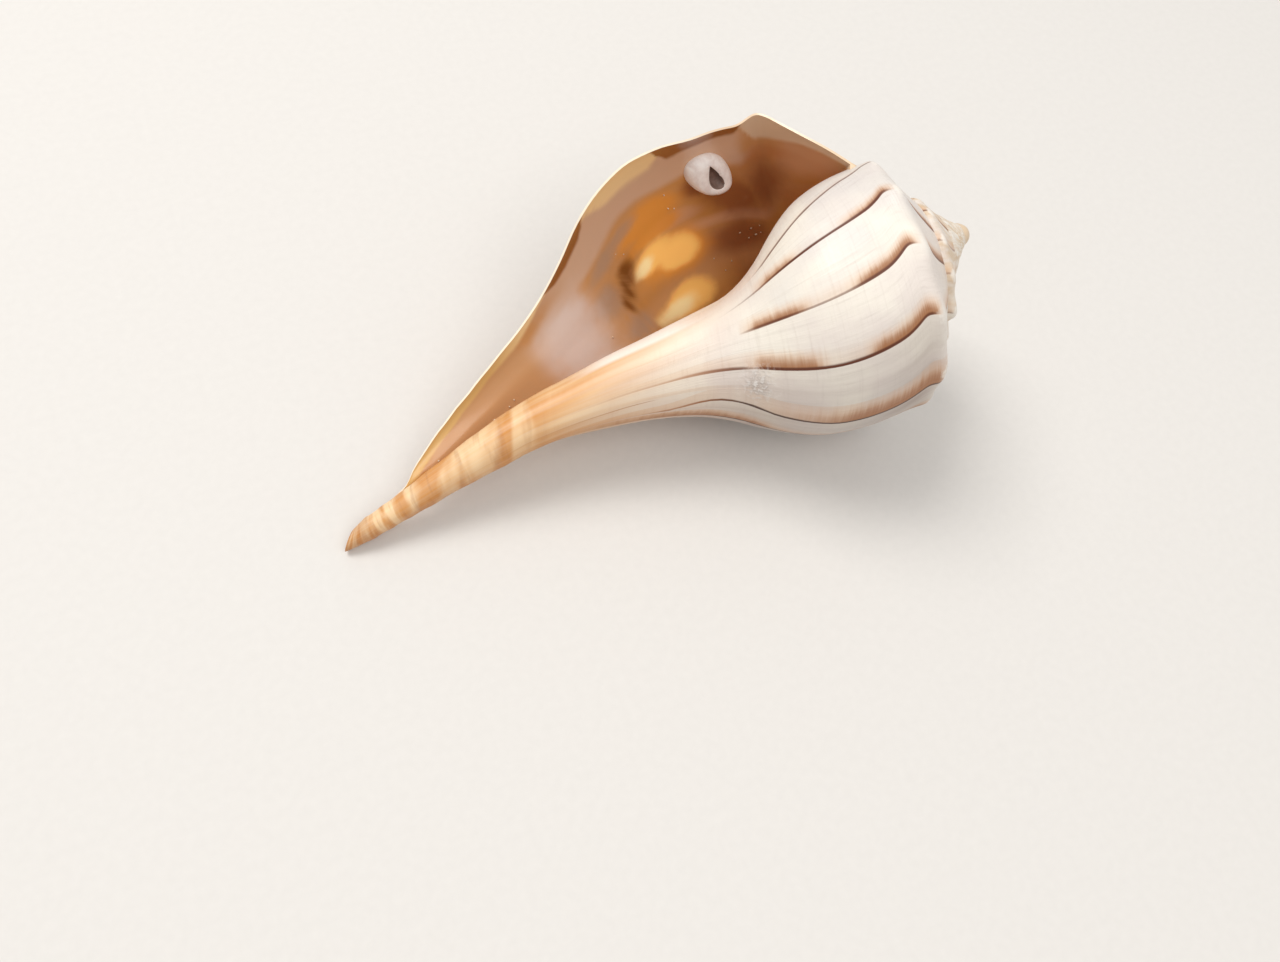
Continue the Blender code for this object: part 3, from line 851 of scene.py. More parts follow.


# %% [markdown]
# Inside, the wall is glazed. Where the outside has no brown, daylight comes through the thin wall
# and the glaze glows amber. Where a streak lies behind, it is dark brown. Along the lip there are
# strips of cream, brown and rose, and by the canal it is pearly grey, then tan; the pearly grey is
# partly a painted sheen. Most colours are a few soft ovals, given by their middle and half size in
# turns and rows.

# %% Fields of the inside
SPOTS = {
    "deep": [
        ((-0.101, 7.6), (0.024, 1.45)), ((-0.092, 5.0), (0.030, 1.9)), ((-0.152, 8.2), (0.020, 1.8)),
        ((-0.078, 9.0), (0.012, 0.7)), ((-0.230, 7.0), (0.040, 3.0)),
    ],
    "honey": [
        ((-0.080, 11.2), (0.017, 1.6)), ((-0.100, 11.2), (0.012, 1.3)), ((-0.145, 10.9), (0.026, 1.6)),
    ],
    "amber": [
        ((-0.127, 11.7), (0.016, 0.85)), ((-0.143, 10.8), (0.017, 0.95)), ((-0.196, 11.3), (0.019, 1.3)),
    ],
    "pale": [((-0.128, 12.15), (0.009, 0.45)), ((-0.200, 11.9), (0.012, 0.8))],
    "umber": [
        ((-0.108, 12.75), (0.013, 0.34)), ((-0.120, 12.9), (0.013, 0.32)),
        ((-0.132, 13.05), (0.013, 0.26)), ((-0.143, 13.2), (0.012, 0.2)),
    ],
    "smoky": [
        ((-0.072, 13.2), (0.013, 0.8)), ((-0.070, 12.2), (0.008, 0.7)), ((-0.185, 13.3), (0.02, 0.5)),
        ((-0.115, 13.7), (0.03, 0.45)),
    ],
    "russet": [((-0.052, 4.6), (0.012, 2.0)), ((-0.150, 2.0), (0.040, 1.6))],
    "pink": [((-0.104, 10.2), (0.010, 1.2)), ((-0.126, 8.0), (0.008, 2.6)), ((-0.05, 1.8), (0.04, 1.6))],
}
ROSE_BY_ROW = [(0, 0.15), (5.6, 0.35), (7.2, 0.9), (12, 1), (14.8, 0.7), (16.5, 0.1)]
CREAM_BY_ROW = [
    (0, 0.020), (2.0, 0.024), (3.4, 0.034), (5.0, 0.034), (6.2, 0.004), (9.2, 0.003), (10.4, 0.028),
    (12.0, 0.027), (13.0, 0.006), (14.9, 0.004), (16.0, 0.020), (17, 0.022), (22, 0.05),
]
BROWN_BY_ROW = [
    (5.4, -0.01), (6.6, 0.012), (8.6, 0.016), (9.5, 0.024), (10.3, -0.01), (12.4, -0.01), (13.2, 0.018),
    (14.4, 0.015), (15.4, -0.01), (26, -0.01),
]
STRIP_EDGE = 0.014


def patches(turn, row, spots):
    return np.maximum.reduce([spot(turn, row, *one) for one in spots])


def strip(depth, width):
    """A strip along the lip, width turns wide, with a soft edge."""
    return np.clip((width - depth) / STRIP_EDGE + 0.5, 0, 1)


def inside_fields(turn, row):
    depth = np.clip(-turn, 0, None)
    rose_width = 0.056 + 0.003 * np.sin(row * 2.0)
    fields = {name: patches(turn, row, spots) for name, spots in SPOTS.items()}
    fields.update({
        "rose": through(ROSE_BY_ROW, row) * between(depth, -0.02, rose_width, 0.02),
        "cream": strip(depth, through(CREAM_BY_ROW, row)),
        "brown": strip(depth, through(BROWN_BY_ROW, row)),
        "edge": depth,
        # The pearly grey by the canal is partly a painted sheen.
        "pearl_and_sheen": between(row, 14.1, 16.1, 2.6) * ease((depth - 0.008) / 0.045),
        "gutter": ease((row - 15.6) / 1.4),
    })
    return fields


print("spots inside:", {name: len(spots) for name, spots in SPOTS.items()})


# %% Make the shell
CREASE_DEGREES = 55


def make_whelk():
    points = on_the_ground(wall.points)
    made = mesh_object("whelk_shell", points, wall.faces, [])
    mesh = made.data
    growth = np.array(wall.growth, float)
    turn, row = growth.T
    mesh.uv_layers.new(name="growth").data.foreach_set("uv", growth.astype(np.float32).ravel())
    mesh.polygons.foreach_set("material_index", wall.finish)
    corner_points = np.zeros(len(growth), np.int32)
    mesh.loops.foreach_get("vertex_index", corner_points)
    girth = 2 * math.pi * np.hypot(*wall.points[corner_points][:, :2].T)
    line, shade, reach, drift = streak_fields(turn, row)
    fields = {"girth": girth, "line": line, "shade": shade, "reach": reach, "drift": drift}
    fields.update(outside_fields(turn, row))
    fields.update(inside_fields(turn, row))
    for name, values in fields.items():
        paint_corners(mesh, name, values)
    mesh.shade_smooth()
    mesh.set_sharp_from_angle(angle=math.radians(CREASE_DEGREES))
    print("whelk_shell:", len(mesh.vertices), "points,", len(mesh.polygons), "faces,", len(fields), "fields")
    return made


whelk = make_whelk()

# %% [markdown]
# Materials here are built from small steps: maths on numbers, blends of colours and noise. A helper
# with short methods keeps each finish readable, where bare node calls would bury it.

# %% A helper that writes shader nodes
def colour(red, green, blue):
    """A colour in screen values, 0 to 255, as the linear values that shaders take."""
    screen = np.array([red, green, blue]) / 255
    linear = np.where(screen <= 0.04045, screen / 12.92, ((screen + 0.055) / 1.055) ** 2.4)
    return (*linear.tolist(), 1)


class Shading:
    """Adds nodes to one node tree. Every method returns the output it made."""

    def __init__(self, tree):
        self.tree = tree

    def node(self, kind, **settings):
        made = self.tree.nodes.new(kind)
        for name, value in settings.items():
            setattr(made, name, value)
        return made

    def feed(self, socket, value):
        if isinstance(value, bpy.types.NodeSocket):
            self.tree.links.new(value, socket)
        else:
            socket.default_value = value

    def maths(self, operation, *values, clamp=False):
        made = self.node("ShaderNodeMath", operation=operation, use_clamp=clamp)
        for socket, value in zip(made.inputs, values):
            self.feed(socket, value)
        return made.outputs[0]

    def add(self, a, b):
        return self.maths("ADD", a, b)

    def less(self, a, b):
        return self.maths("SUBTRACT", a, b)

    def times(self, a, b, clamp=False):
        return self.maths("MULTIPLY", a, b, clamp=clamp)

    def fade(self, value, start, end):
        """0 at start and 1 at end, smoothly."""
        made = self.node("ShaderNodeMapRange", interpolation_type="SMOOTHSTEP")
        for name, one in (("Value", value), ("From Min", start), ("From Max", end)):
            self.feed(made.inputs[name], one)
        return made.outputs["Result"]

    def blend(self, share, under, over):
        made = self.node("ShaderNodeMix", data_type="RGBA")
        self.feed(made.inputs[0], share)
        self.feed(made.inputs[6], under)
        self.feed(made.inputs[7], over)
        return made.outputs[2]

    def cover(self, under, share, most, over):
        """The colour under with the colour over laid on it, at most so much of it."""
        return self.blend(self.times(share, most), under, over)

    def field(self, name):
        return self.node("ShaderNodeAttribute", attribute_name=name).outputs["Fac"]

    def vector(self, x, y, z=0.0):
        made = self.node("ShaderNodeCombineXYZ")
        for socket, value in zip(made.inputs, (x, y, z)):
            self.feed(socket, value)
        return made.outputs[0]

    def noise(self, vector, scale, detail=2.0, rough=0.5, bend=0.0):
        made = self.node("ShaderNodeTexNoise")
        self.feed(made.inputs["Vector"], vector)
        for name, value in (("Scale", scale), ("Detail", detail), ("Roughness", rough), ("Distortion", bend)):
            made.inputs[name].default_value = value
        return made.outputs["Fac"]

    def growth(self):
        """Turn and row of the surface."""
        place = self.node("ShaderNodeUVMap", uv_map="growth").outputs["UV"]
        parts = self.node("ShaderNodeSeparateXYZ")
        self.feed(parts.inputs[0], place)
        return parts.outputs[0], parts.outputs[1]

    def place(self):
        return self.node("ShaderNodeTexCoord").outputs["Object"]

    def use(self, group, **values):
        made = self.node("ShaderNodeGroup", node_tree=group)
        for name, value in values.items():
            self.feed(made.inputs[name.replace("_", " ")], value)
        return made.outputs

    def bump(self, height, depth):
        made = self.node("ShaderNodeBump")
        made.inputs["Strength"].default_value = 1.0
        made.inputs["Distance"].default_value = depth
        self.feed(made.inputs["Height"], height)
        return made.outputs["Normal"]


def node_group(name, inputs, outputs):
    """An empty node group with named number inputs and outputs, and its own writer."""
    tree = bpy.data.node_groups.new(name, "ShaderNodeTree")
    for label, value in inputs.items():
        tree.interface.new_socket(label, in_out="INPUT", socket_type="NodeSocketFloat").default_value = value
    for label in outputs:
        tree.interface.new_socket(label, in_out="OUTPUT", socket_type="NodeSocketFloat")
    write = Shading(tree)
    return tree, write, write.node("NodeGroupInput").outputs, write.node("NodeGroupOutput").inputs


def new_material(name, **sockets):
    """A material with its writer and its Principled shader, whose plain values are set by name."""
    made = bpy.data.materials.new(name)
    made.use_nodes = True
    shader = made.node_tree.nodes["Principled BSDF"]
    for label, value in sockets.items():
        shader.inputs[label.replace("_", " ")].default_value = value
    return made, Shading(made.node_tree), shader


print("cream as the shaders take it:", [round(value, 3) for value in colour(236, 229, 217)])


# %% [markdown]
# Two fine patterns cover the shell. Growth wrinkles run along the old lips, so they are noise squeezed
# along the turn. Spiral threads run round the outside, so they are noise squeezed along the row. Real
# ridges this fine would take millions of faces. Each is a node group with its own fineness, and the
# glaze uses the wrinkles too.

# %% Growth wrinkles and spiral threads
def make_wrinkles():
    tree, write, given, result = node_group(
        "growth wrinkles", {"Turn": 0, "Row": 0, "Per turn": 220}, ["Fine", "Broad"]
    )
    fine_place = write.vector(write.times(given["Turn"], given["Per turn"]), write.times(given["Row"], 0.55))
    write.feed(result["Fine"], write.noise(fine_place, 1.0, 3.0, 0.6, 0.15))
    broad_turn = write.times(given["Turn"], write.times(given["Per turn"], 0.22))
    broad_place = write.vector(broad_turn, write.times(given["Row"], 0.16), 3.7)
    write.feed(result["Broad"], write.noise(broad_place, 1.0, 2.0, 0.5, 0.2))
    return tree


def make_threads():
    tree, write, given, result = node_group(
        "spiral threads", {"Turn": 0, "Row": 0, "Per row": 8}, ["Threads"]
    )
    place = write.vector(write.times(given["Turn"], 9.0), write.times(given["Row"], given["Per row"]), 8.3)
    write.feed(result["Threads"], write.noise(place, 1.0, 3.0, 0.65, 0.1))
    return tree


WRINKLES = make_wrinkles()
THREADS = make_threads()
print("node groups:", WRINKLES.name + ",", THREADS.name)


# %% [markdown]
# A streak is drawn by its distance in millimetres from the nearest old lip. The line is crisp on its
# newer side. The soft brown lies only on its older side, where it is broken into fine spiral stripes
# by the threads. Turns could be used instead of millimetres, but then the lines would come out
# thinner and thinner towards the spire.

# %% Streaks
LINE_HALF, LINE_SPREAD = 0.10, 0.15
STREAK_WANDER = 0.7


def make_streaks():
    tree, write, given, result = node_group(
        "streaks",
        {
            "Turn": 0, "Girth": 100, "Drift": 0, "Line": 1, "Shade": 1, "Reach": 3, "Threads": 0.5,
            "Wander": 0.5,
        },
        ["Line", "Shade"],
    )
    moved = write.less(given["Turn"], given["Drift"])
    share = write.add(write.times(moved, STREAKS_PER_TURN), 0.5)
    off = write.less(write.maths("FRACT", share), 0.5)
    distance = write.times(write.times(off, 1 / STREAKS_PER_TURN), given["Girth"])
    distance = write.add(distance, write.times(write.less(given["Wander"], 0.5), STREAK_WANDER))
    half = write.add(LINE_HALF, write.times(given["Line"], LINE_SPREAD))
    ahead = write.less(1.0, write.fade(distance, write.times(half, 0.4), half))
    behind = write.fade(distance, write.times(half, -2.0), write.times(half, -0.5))
    write.feed(result["Line"], write.times(write.times(ahead, behind), given["Line"], clamp=True))
    edge = write.less(1.0, write.fade(distance, -0.1, 0.25))
    broken = write.times(given["Reach"], write.add(0.85, write.times(given["Threads"], 0.4)))
    side = write.fade(distance, write.times(broken, -1.0), 0.0)
    shaded = write.times(write.times(side, edge), given["Shade"])
    striped = write.add(0.7, write.times(given["Threads"], 0.6))
    write.feed(result["Shade"], write.times(shaded, striped, clamp=True))
    return tree


STREAK_GROUP = make_streaks()
print("the streaks take", [socket.name for socket in STREAK_GROUP.interface.items_tree][2:])

# %% [markdown]
# The outside is satin, not glossy: its skin wore off in the surf. Its colours are laid over each other
# as thin coats. The lowest are cream and pinkish white, then come the tints, the orange tan of the
# canal, the brown band of the back and the streaks, and last the chalk of the worn places. Coats
# keep the markings apart, so each one can be changed alone.

# %% Colours of the outside
CREAM = colour(236, 229, 217)
ROSY_WHITE = colour(226, 216, 208)
COOL_WHITE = colour(208, 204, 203)
DUSKY = colour(142, 122, 112)
TAN = colour(204, 138, 66)
PALE_TAN = colour(238, 204, 158)
RUST = colour(158, 94, 40)
FOLD_WHITE_AND_HIGHLIGHT = colour(246, 236, 226)
RAMP_TAN = colour(214, 190, 160)
BAND_BROWN = colour(120, 78, 50)
SOFT_BROWN = colour(208, 146, 78)
SHADE_BROWN = colour(132, 68, 14)
LINE_BROWN = colour(66, 30, 8)
OLDER_LINE_BROWN = colour(92, 40, 10)
CHALK = colour(234, 228, 219)
SCAR_DARK = colour(104, 90, 84)
SCAR_WHITE = colour(240, 236, 232)


# %% The bare shell and the tan of the canal
def bare_shell(write, mottle, threads, fine):
    """Cream and rosy white, with faint growth lines and threads."""
    cool = write.noise(write.place(), 62.0, 2.0, 0.5)
    base = write.blend(write.fade(mottle, 0.36, 0.66), CREAM, ROSY_WHITE)
    base = write.cover(base, write.fade(cool, 0.5, 0.68), 0.45, COOL_WHITE)
    base = write.cover(base, write.fade(threads, 0.5, 0.8), 0.12, DUSKY)
    return write.cover(base, write.fade(fine, 0.5, 0.8), 0.14, DUSKY)


def canal_tan(write, turn, row):
    """Orange tan with soft streaks down the canal, and pale rings near its end."""

    def pattern(per_turn, per_row, start, rough, bend):
        place = write.vector(write.times(turn, per_turn), write.times(row, per_row), start)
        return write.noise(place, 1.0, 2.0, rough, bend)

    stripes = pattern(8.0, 0.16, 0.0, 0.45, 0.0)
    rings = pattern(1.6, 1.25, 5.0, 0.5, 0.4)
    fine_rings = pattern(2.5, 5.0, 2.0, 0.5, 0.3)
    tan = write.blend(write.fade(stripes, 0.34, 0.62), PALE_TAN, TAN)
    near_end = write.fade(row, 17.0, 18.6)
    ringed = write.blend(write.fade(rings, 0.40, 0.60), TAN, PALE_TAN)
    ringed = write.cover(ringed, write.fade(fine_rings, 0.5, 0.72), 0.4, RUST)
    ringed = write.cover(ringed, write.fade(row, 23.2, 23.8), 0.4, RUST)
    tan = write.cover(tan, write.fade(stripes, 0.60, 0.74), 0.5, RUST)
    return write.cover(tan, near_end, 0.85, ringed)


# %% Coats of the outside
def with_tints(write, base, threads, broad, mottle, turn, row):
    """The broad colours under the streaks."""
    ramp = write.times(write.field("ramp"), write.fade(broad, 0.3, 0.7))
    base = write.blend(ramp, base, RAMP_TAN)
    # Grey-brown on the side of the last whorl: partly the shell's own tint, partly painted shade away from
    # the light.
    grey_tint_and_shade = write.times(write.field("grey_tint_and_shade"), write.add(0.35, broad), clamp=True)
    base = write.cover(base, grey_tint_and_shade, 0.8, DUSKY)
    tan = write.times(write.field("tan"), write.add(0.72, write.times(broad, 0.5)), clamp=True)
    base = write.blend(tan, base, canal_tan(write, turn, row))
    # Painted shade: a little rust low on the last whorl and its canal, on the side away from the light.
    base = write.cover(base, write.field("painted_shade"), 0.3, RUST)
    # White fold on the pillar, partly its own white and partly a painted highlight.
    base = write.cover(base, write.field("fold_and_highlight"), 0.9, FOLD_WHITE_AND_HIGHLIGHT)
    blotches = write.fade(write.add(mottle, write.times(threads, 0.6)), 0.62, 0.95)
    return write.cover(base, write.times(write.field("band"), blotches), 0.8, BAND_BROWN)


def with_streaks(write, base, threads, broad, turn, row):
    """The soft brown of the streaks in two coats, and their lines, paler on older turns and below."""
    told = {name: write.field(name.lower()) for name in ("Girth", "Drift", "Line", "Shade", "Reach")}
    streaks = write.use(STREAK_GROUP, Turn=turn, Threads=threads, Wander=broad, **told)
    base = write.cover(base, write.maths("POWER", streaks["Shade"], 0.8), 0.8, SOFT_BROWN)
    base = write.cover(base, write.fade(streaks["Shade"], 0.25, 0.95), 0.7, SHADE_BROWN)
    line_colour = write.blend(write.fade(turn, -0.64, -0.58), OLDER_LINE_BROWN, LINE_BROWN)
    line_colour = write.blend(write.fade(row, 12.8, 14.5), line_colour, RUST)
    return write.blend(streaks["Line"], base, line_colour)


def with_wear(write, base, speckle):
    """Chalk on the worn knobs, and the white flakes and dark pits of the scar."""
    grain = write.times(write.less(speckle, 0.5), 0.7)
    base = write.cover(base, write.fade(write.add(write.field("worn"), grain), 0.3, 0.75), 0.8, CHALK)
    pits = write.fade(write.add(write.field("scar"), write.times(grain, 2.0)), 0.45, 0.8)
    base = write.cover(base, pits, 0.2, SCAR_DARK)
    flakes = write.times(write.field("scar"), write.fade(speckle, 0.5, 0.62))
    return write.cover(base, flakes, 0.6, SCAR_WHITE)


# %% The finish of the outside
OUTSIDE_RELIEF = 0.00014


def finish_outside():
    made, write, shader = new_material("shell outside", Roughness=0.42, IOR=1.5)
    turn, row = write.growth()
    wrinkles = write.use(WRINKLES, Turn=turn, Row=row)
    threads = write.use(THREADS, Turn=turn, Row=row)["Threads"]
    mottle = write.noise(write.place(), 90.0, 3.0, 0.55)
    speckle = write.noise(write.place(), 1500.0, 2.0, 0.6)
    off_canal = write.less(1.0, write.times(write.field("tan"), 0.9))
    off_canal = write.times(off_canal, write.fade(turn, -3.4, -2.0))
    fine = write.times(wrinkles["Fine"], off_canal)
    base = bare_shell(write, mottle, threads, fine)
    base = with_tints(write, base, threads, wrinkles["Broad"], mottle, turn, row)
    base = with_streaks(write, base, threads, wrinkles["Broad"], turn, row)
    base = with_wear(write, base, speckle)
    write.feed(shader.inputs["Base Color"], base)
    relief = write.times(write.add(write.times(wrinkles["Fine"], 0.5), wrinkles["Broad"]), off_canal)
    relief = write.add(relief, write.times(threads, 0.3))
    relief = write.add(relief, write.times(write.field("scar"), write.times(speckle, 3.0)))
    write.feed(shader.inputs["Normal"], write.bump(relief, OUTSIDE_RELIEF))
    return made


# %% [markdown]
# The glaze inside is as smooth as porcelain. It is built the same way, from brown, honey and pearl,
# which is partly a painted sheen, to rose and amber, and last the strips along the lip. Noise is added
# to a field before it is read, so that its edge comes out uneven, as a growing edge is. Light that
# comes through the thin wall could be traced through it, but that is slow, so the amber places give
# off a little painted light of their own, and the honey places less.

# %% Colours of the inside
GLAZE_BROWN = colour(206, 150, 98)
OLIVE_BROWN = colour(204, 144, 80)
PINK_BROWN = colour(216, 164, 126)
DEEP_BROWN = colour(150, 90, 54)
RUSSET = colour(194, 130, 82)
HONEY = colour(230, 152, 66)
AMBER = colour(255, 196, 108)
PALE_AMBER = colour(255, 236, 180)
UMBER = colour(120, 66, 18)
SMOKE = colour(172, 146, 128)
ROSE = colour(218, 182, 156)
LIP_CREAM = colour(250, 216, 160)
LIP_GREY = colour(232, 206, 176)
LIP_BROWN = colour(152, 92, 38)
PEARL_AND_SHEEN = colour(226, 206, 196)
GUTTER_TAN = colour(204, 154, 108)
GUTTER_YELLOW = colour(224, 184, 118)
EDGE_WHITE = colour(246, 234, 212)
THROUGH_LIGHT = 0.28
INSIDE_RELIEF = 0.00008
GLAZE_COATS = [
    ("pink", PINK_BROWN, 0.2, 0.9, 0.8),
    ("russet", RUSSET, 0.15, 0.9, 0.8),
    ("deep", DEEP_BROWN, 0.15, 0.95, 0.85),
    ("honey", HONEY, 0.25, 0.8, 0.9),
    ("smoky", SMOKE, 0.2, 0.9, 0.6),
    # Pearly grey by the canal, partly a painted sheen.
    ("pearl_and_sheen", PEARL_AND_SHEEN, 0.1, 0.95, 0.9),
    ("gutter", GUTTER_TAN, 0.1, 0.9, 1.0),
    ("rose", ROSE, 0.1, 0.9, 0.8),
    ("amber", AMBER, 0.3, 0.68, 1.0),
    ("pale", PALE_AMBER, 0.2, 0.85, 0.8),
    ("umber", UMBER, 0.2, 0.95, 0.85),
]
print("coats of the glaze, from the lowest:", [coat[0] for coat in GLAZE_COATS])


# %% The finish of the inside
def finish_inside():
    made, write, shader = new_material(
        "shell glaze", Roughness=0.22, IOR=1.52, Emission_Strength=THROUGH_LIGHT
    )
    turn, row = write.growth()
    wrinkles = write.use(WRINKLES, Turn=turn, Row=row, Per_turn=90)
    mottle = write.noise(write.place(), 120.0, 3.0, 0.55)
    uneven = write.times(write.less(mottle, 0.5), 0.8)
    uneven = write.add(uneven, write.times(write.less(wrinkles["Broad"], 0.5), 0.35))

    def laid(base, name, over, low, high, most):
        share = write.fade(write.add(write.field(name), uneven), low, high)
        return write.cover(base, share, most, over)

    base = write.blend(write.fade(wrinkles["Broad"], 0.35, 0.65), GLAZE_BROWN, OLIVE_BROWN)
    for coat in GLAZE_COATS:
        base = laid(base, *coat)
    # Painted light: the amber places, and the honey ones less, glow as if daylight came through the thin
    # wall.
    glow = write.add(write.field("amber"), write.times(write.field("honey"), 0.3))
    glow = write.maths("SUBTRACT", glow, write.field("umber"), clamp=True)
    lip_cream = write.blend(write.fade(row, 5.5, 7.5), LIP_GREY, LIP_CREAM)
    lip_cream = write.blend(write.fade(row, 15.6, 17.5), lip_cream, GUTTER_YELLOW)
    base = laid(base, "cream", lip_cream, 0.1, 0.9, 0.9)
    base = laid(base, "brown", LIP_BROWN, 0.25, 0.75, 0.95)
    edge = write.add(write.field("edge"), write.times(uneven, 0.0012))
    white = write.less(1.0, write.fade(edge, 0.0001, 0.0008))
    edge_colour = write.blend(write.fade(row, 7.0, 9.5), LIP_GREY, EDGE_WHITE)
    base = write.cover(base, white, 0.9, edge_colour)
    write.feed(shader.inputs["Base Color"], base)
    write.feed(shader.inputs["Emission Color"], write.blend(glow, (0, 0, 0, 1), base))
    write.feed(shader.inputs["Normal"], write.bump(wrinkles["Broad"], INSIDE_RELIEF))
    return made


for finish in (finish_outside(), finish_inside()):
    whelk.data.materials.append(finish)
    print(finish.name + ":", len(finish.node_tree.nodes), "nodes")
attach(whelk, "root")
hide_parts("shell")

# %% [markdown]
# The barnacle is a low cone of six plates grown together, cemented to the wall, with a kite-shaped
# mouth that a rough dark filling closes. A cone could be cut and bent to fit. Instead it is drawn as
# rings that follow the wall's curve, as a potter would coil it, because then it fits everywhere.

# %% Place and sizes of the barnacle
BARNACLE_TURN = -0.061
BARNACLE_ROW = 8.3
BARNACLE_LENGTH = 9.4
BARNACLE_WIDTH = 7.6
BARNACLE_HEIGHT = 2.5
BARNACLE_LEAN = 0.3
BARNACLE_SIDES = 96
MOUTH_LENGTH, MOUTH_WIDTH, MOUTH_DEPTH = 5.2, 2.1, 1.2
MOUTH_SHIFT = -0.3
MOUTH_ALONG = 0.6
MOUTH_POINT, BODY_POINT_SHARE = 0.65, 0.3
PLATES = 6
PLATE_GROOVE, GROOVE_SHARE = 0.025, 0.16
SIDE_STEPS = 15
SIDE = [(0, 1), (0.3, 0.98), (0.6, 0.9), (0.85, 0.78), (1, 0.66)]
FOOT_SHARE, FOOT_SINK = 0.96, 0.12
RIM = [(1.12, -0.06), (1.0, 0.04), (0.9, 0.35), (0.8, 0.8), (0.7, MOUTH_DEPTH)]
FILLED_RINGS = 4
print("the barnacle is", BARNACLE_LENGTH, "by", BARNACLE_WIDTH, "mm, and", BARNACLE_HEIGHT, "mm high")


# %% The barnacle
def barnacle_frame():
    """Turns and rows per millimetre along the inner wall there, and its normal into the hollow."""
    turn, row, step = BARNACLE_TURN, BARNACLE_ROW, 0.001
    round_wall = (inner_point(turn + step, row) - inner_point(turn - step, row)) / (2 * step)
    down_wall = (inner_point(turn, row + step) - inner_point(turn, row - step)) / (2 * step)
    normal = unit(np.cross(round_wall, down_wall))
    return 1 / np.linalg.norm(round_wall), 1 / np.linalg.norm(down_wall), normal


def barnacle_ring(length, width, height, moved=0.0, point=0.0, groove=0.0):
    """A ring round the barnacle at a height above the wall, which follows the wall's curve."""
    per_turn, per_row, normal = barnacle_frame()
    angle = np.arange(BARNACLE_SIDES) * 2 * math.pi / BARNACLE_SIDES
    plate = np.abs((angle * PLATES / (2 * math.pi) + 0.25) % 1 - 0.5) * 2
    size = 1 - groove * (1 - ease((1 - plate) / GROOVE_SHARE))
    along = length / 2 * np.cos(angle) * size + MOUTH_ALONG * moved
    down = width / 2 * np.sin(angle) * (1 - point * np.cos(angle)) * size + MOUTH_SHIFT * moved
    wall_point = inner_point(BARNACLE_TURN + along * per_turn, BARNACLE_ROW + down * per_row)
    raised = height * (1 - BARNACLE_LEAN * along / (BARNACLE_LENGTH / 2))
    return wall_point + normal * raised[:, None]


def barnacle_rings():
    """Rings from under its foot, up the outside, over the rim and down into the mouth."""
    length, width, height = BARNACLE_LENGTH, BARNACLE_WIDTH, BARNACLE_HEIGHT
    rings = [barnacle_ring(length * FOOT_SHARE, width * FOOT_SHARE, -FOOT_SINK)]
    for step in np.linspace(0, 1, SIDE_STEPS):
        share = float(through(SIDE, step))
        point = MOUTH_POINT * BODY_POINT_SHARE * step**3
        groove = PLATE_GROOVE * math.sin(math.pi * step)
        rings.append(barnacle_ring(length * share, width * share, height * step, step / 2, point, groove))
    for share, drop in RIM:
        size = (MOUTH_LENGTH * share, MOUTH_WIDTH * share)
        rings.append(barnacle_ring(*size, height - drop, 1.0, MOUTH_POINT))
    return rings


def make_barnacle():
    rings = barnacle_rings()
    points = np.concatenate(rings + [rings[-1].mean(axis=0)[None]])
    sides = BARNACLE_SIDES
    last = (len(rings) - 1) * sides
    faces = [
        [first + i, first + (i + 1) % sides, first + sides + (i + 1) % sides, first + sides + i]
        for first in range(0, last, sides)
        for i in range(sides)
    ]
    faces += [[last + i, last + (i + 1) % sides, len(points) - 1] for i in range(sides)]
    made = mesh_object("acorn_barnacle", on_the_ground(points), faces, [finish_barnacle(), finish_mouth()])
    filling = FILLED_RINGS * sides
    finishes = [0] * (len(faces) - filling) + [1] * filling
    made.data.polygons.foreach_set("material_index", finishes)
    made.data.shade_smooth()
    print("acorn_barnacle:", len(points), "points")
    return made


# %% The finishes of the barnacle
PLATE_WHITE = colour(250, 245, 242)
PLATE_SHADE = colour(234, 224, 220)
FILLING_DARK = colour(104, 80, 70)
FILLING_PALE = colour(148, 124, 114)
PLATE_RELIEF, FILLING_RELIEF = 0.00005, 0.0002


def finish_barnacle():
    made, write, shader = new_material("barnacle plates", Roughness=0.55)
    mottle = write.noise(write.place(), 700.0, 3.0, 0.6)
    grain = write.noise(write.place(), 2600.0, 2.0)
    base = write.blend(write.fade(mottle, 0.35, 0.75), PLATE_WHITE, PLATE_SHADE)
    write.feed(shader.inputs["Base Color"], base)
    write.feed(shader.inputs["Normal"], write.bump(grain, PLATE_RELIEF))
    return made


def finish_mouth():
    made, write, shader = new_material("barnacle mouth", Roughness=0.6)
    mottle = write.noise(write.place(), 1600.0, 3.0, 0.6)
    write.feed(shader.inputs["Base Color"], write.blend(mottle, FILLING_DARK, FILLING_PALE))
    write.feed(shader.inputs["Normal"], write.bump(mottle, FILLING_RELIEF))
    return made


barnacle = make_barnacle()
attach(barnacle, "root")
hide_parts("barnacle")

# %% [markdown]
# Some sand stayed behind in the opening: a few grains by the pillar, and single ones on the wall and
# in the canal. Each is a small ball pushed out of round and sunk a little into the glaze. Particles
# could scatter them, but these few have places of their own, given by turn, row and radius in
# millimetres. They are one mesh, since each is hardly seen.

# %% Sand in the opening
GRAINS = [
    (-0.070, 10.2, 0.13), (-0.088, 10.3, 0.16), (-0.092, 10.1, 0.11), (-0.146, 7.5, 0.16),
    (-0.154, 7.4, 0.20), (-0.158, 7.8, 0.14), (-0.150, 8.1, 0.17), (-0.142, 7.0, 0.14),
    (-0.151, 7.1, 0.12), (-0.180, 9.0, 0.15), (-0.188, 9.4, 0.12), (-0.170, 9.6, 0.13),
    (-0.080, 12.7, 0.11), (-0.090, 12.5, 0.12), (-0.160, 14.2, 0.18), (-0.080, 19.7, 0.16),
    (-0.128, 17.5, 0.16), (-0.120, 17.3, 0.12), (-0.130, 18.0, 0.20),
]
GRAIN_SINK = 0.3
GRAIN_WHITE = colour(240, 226, 206)
GRAIN_TAN = colour(216, 190, 156)


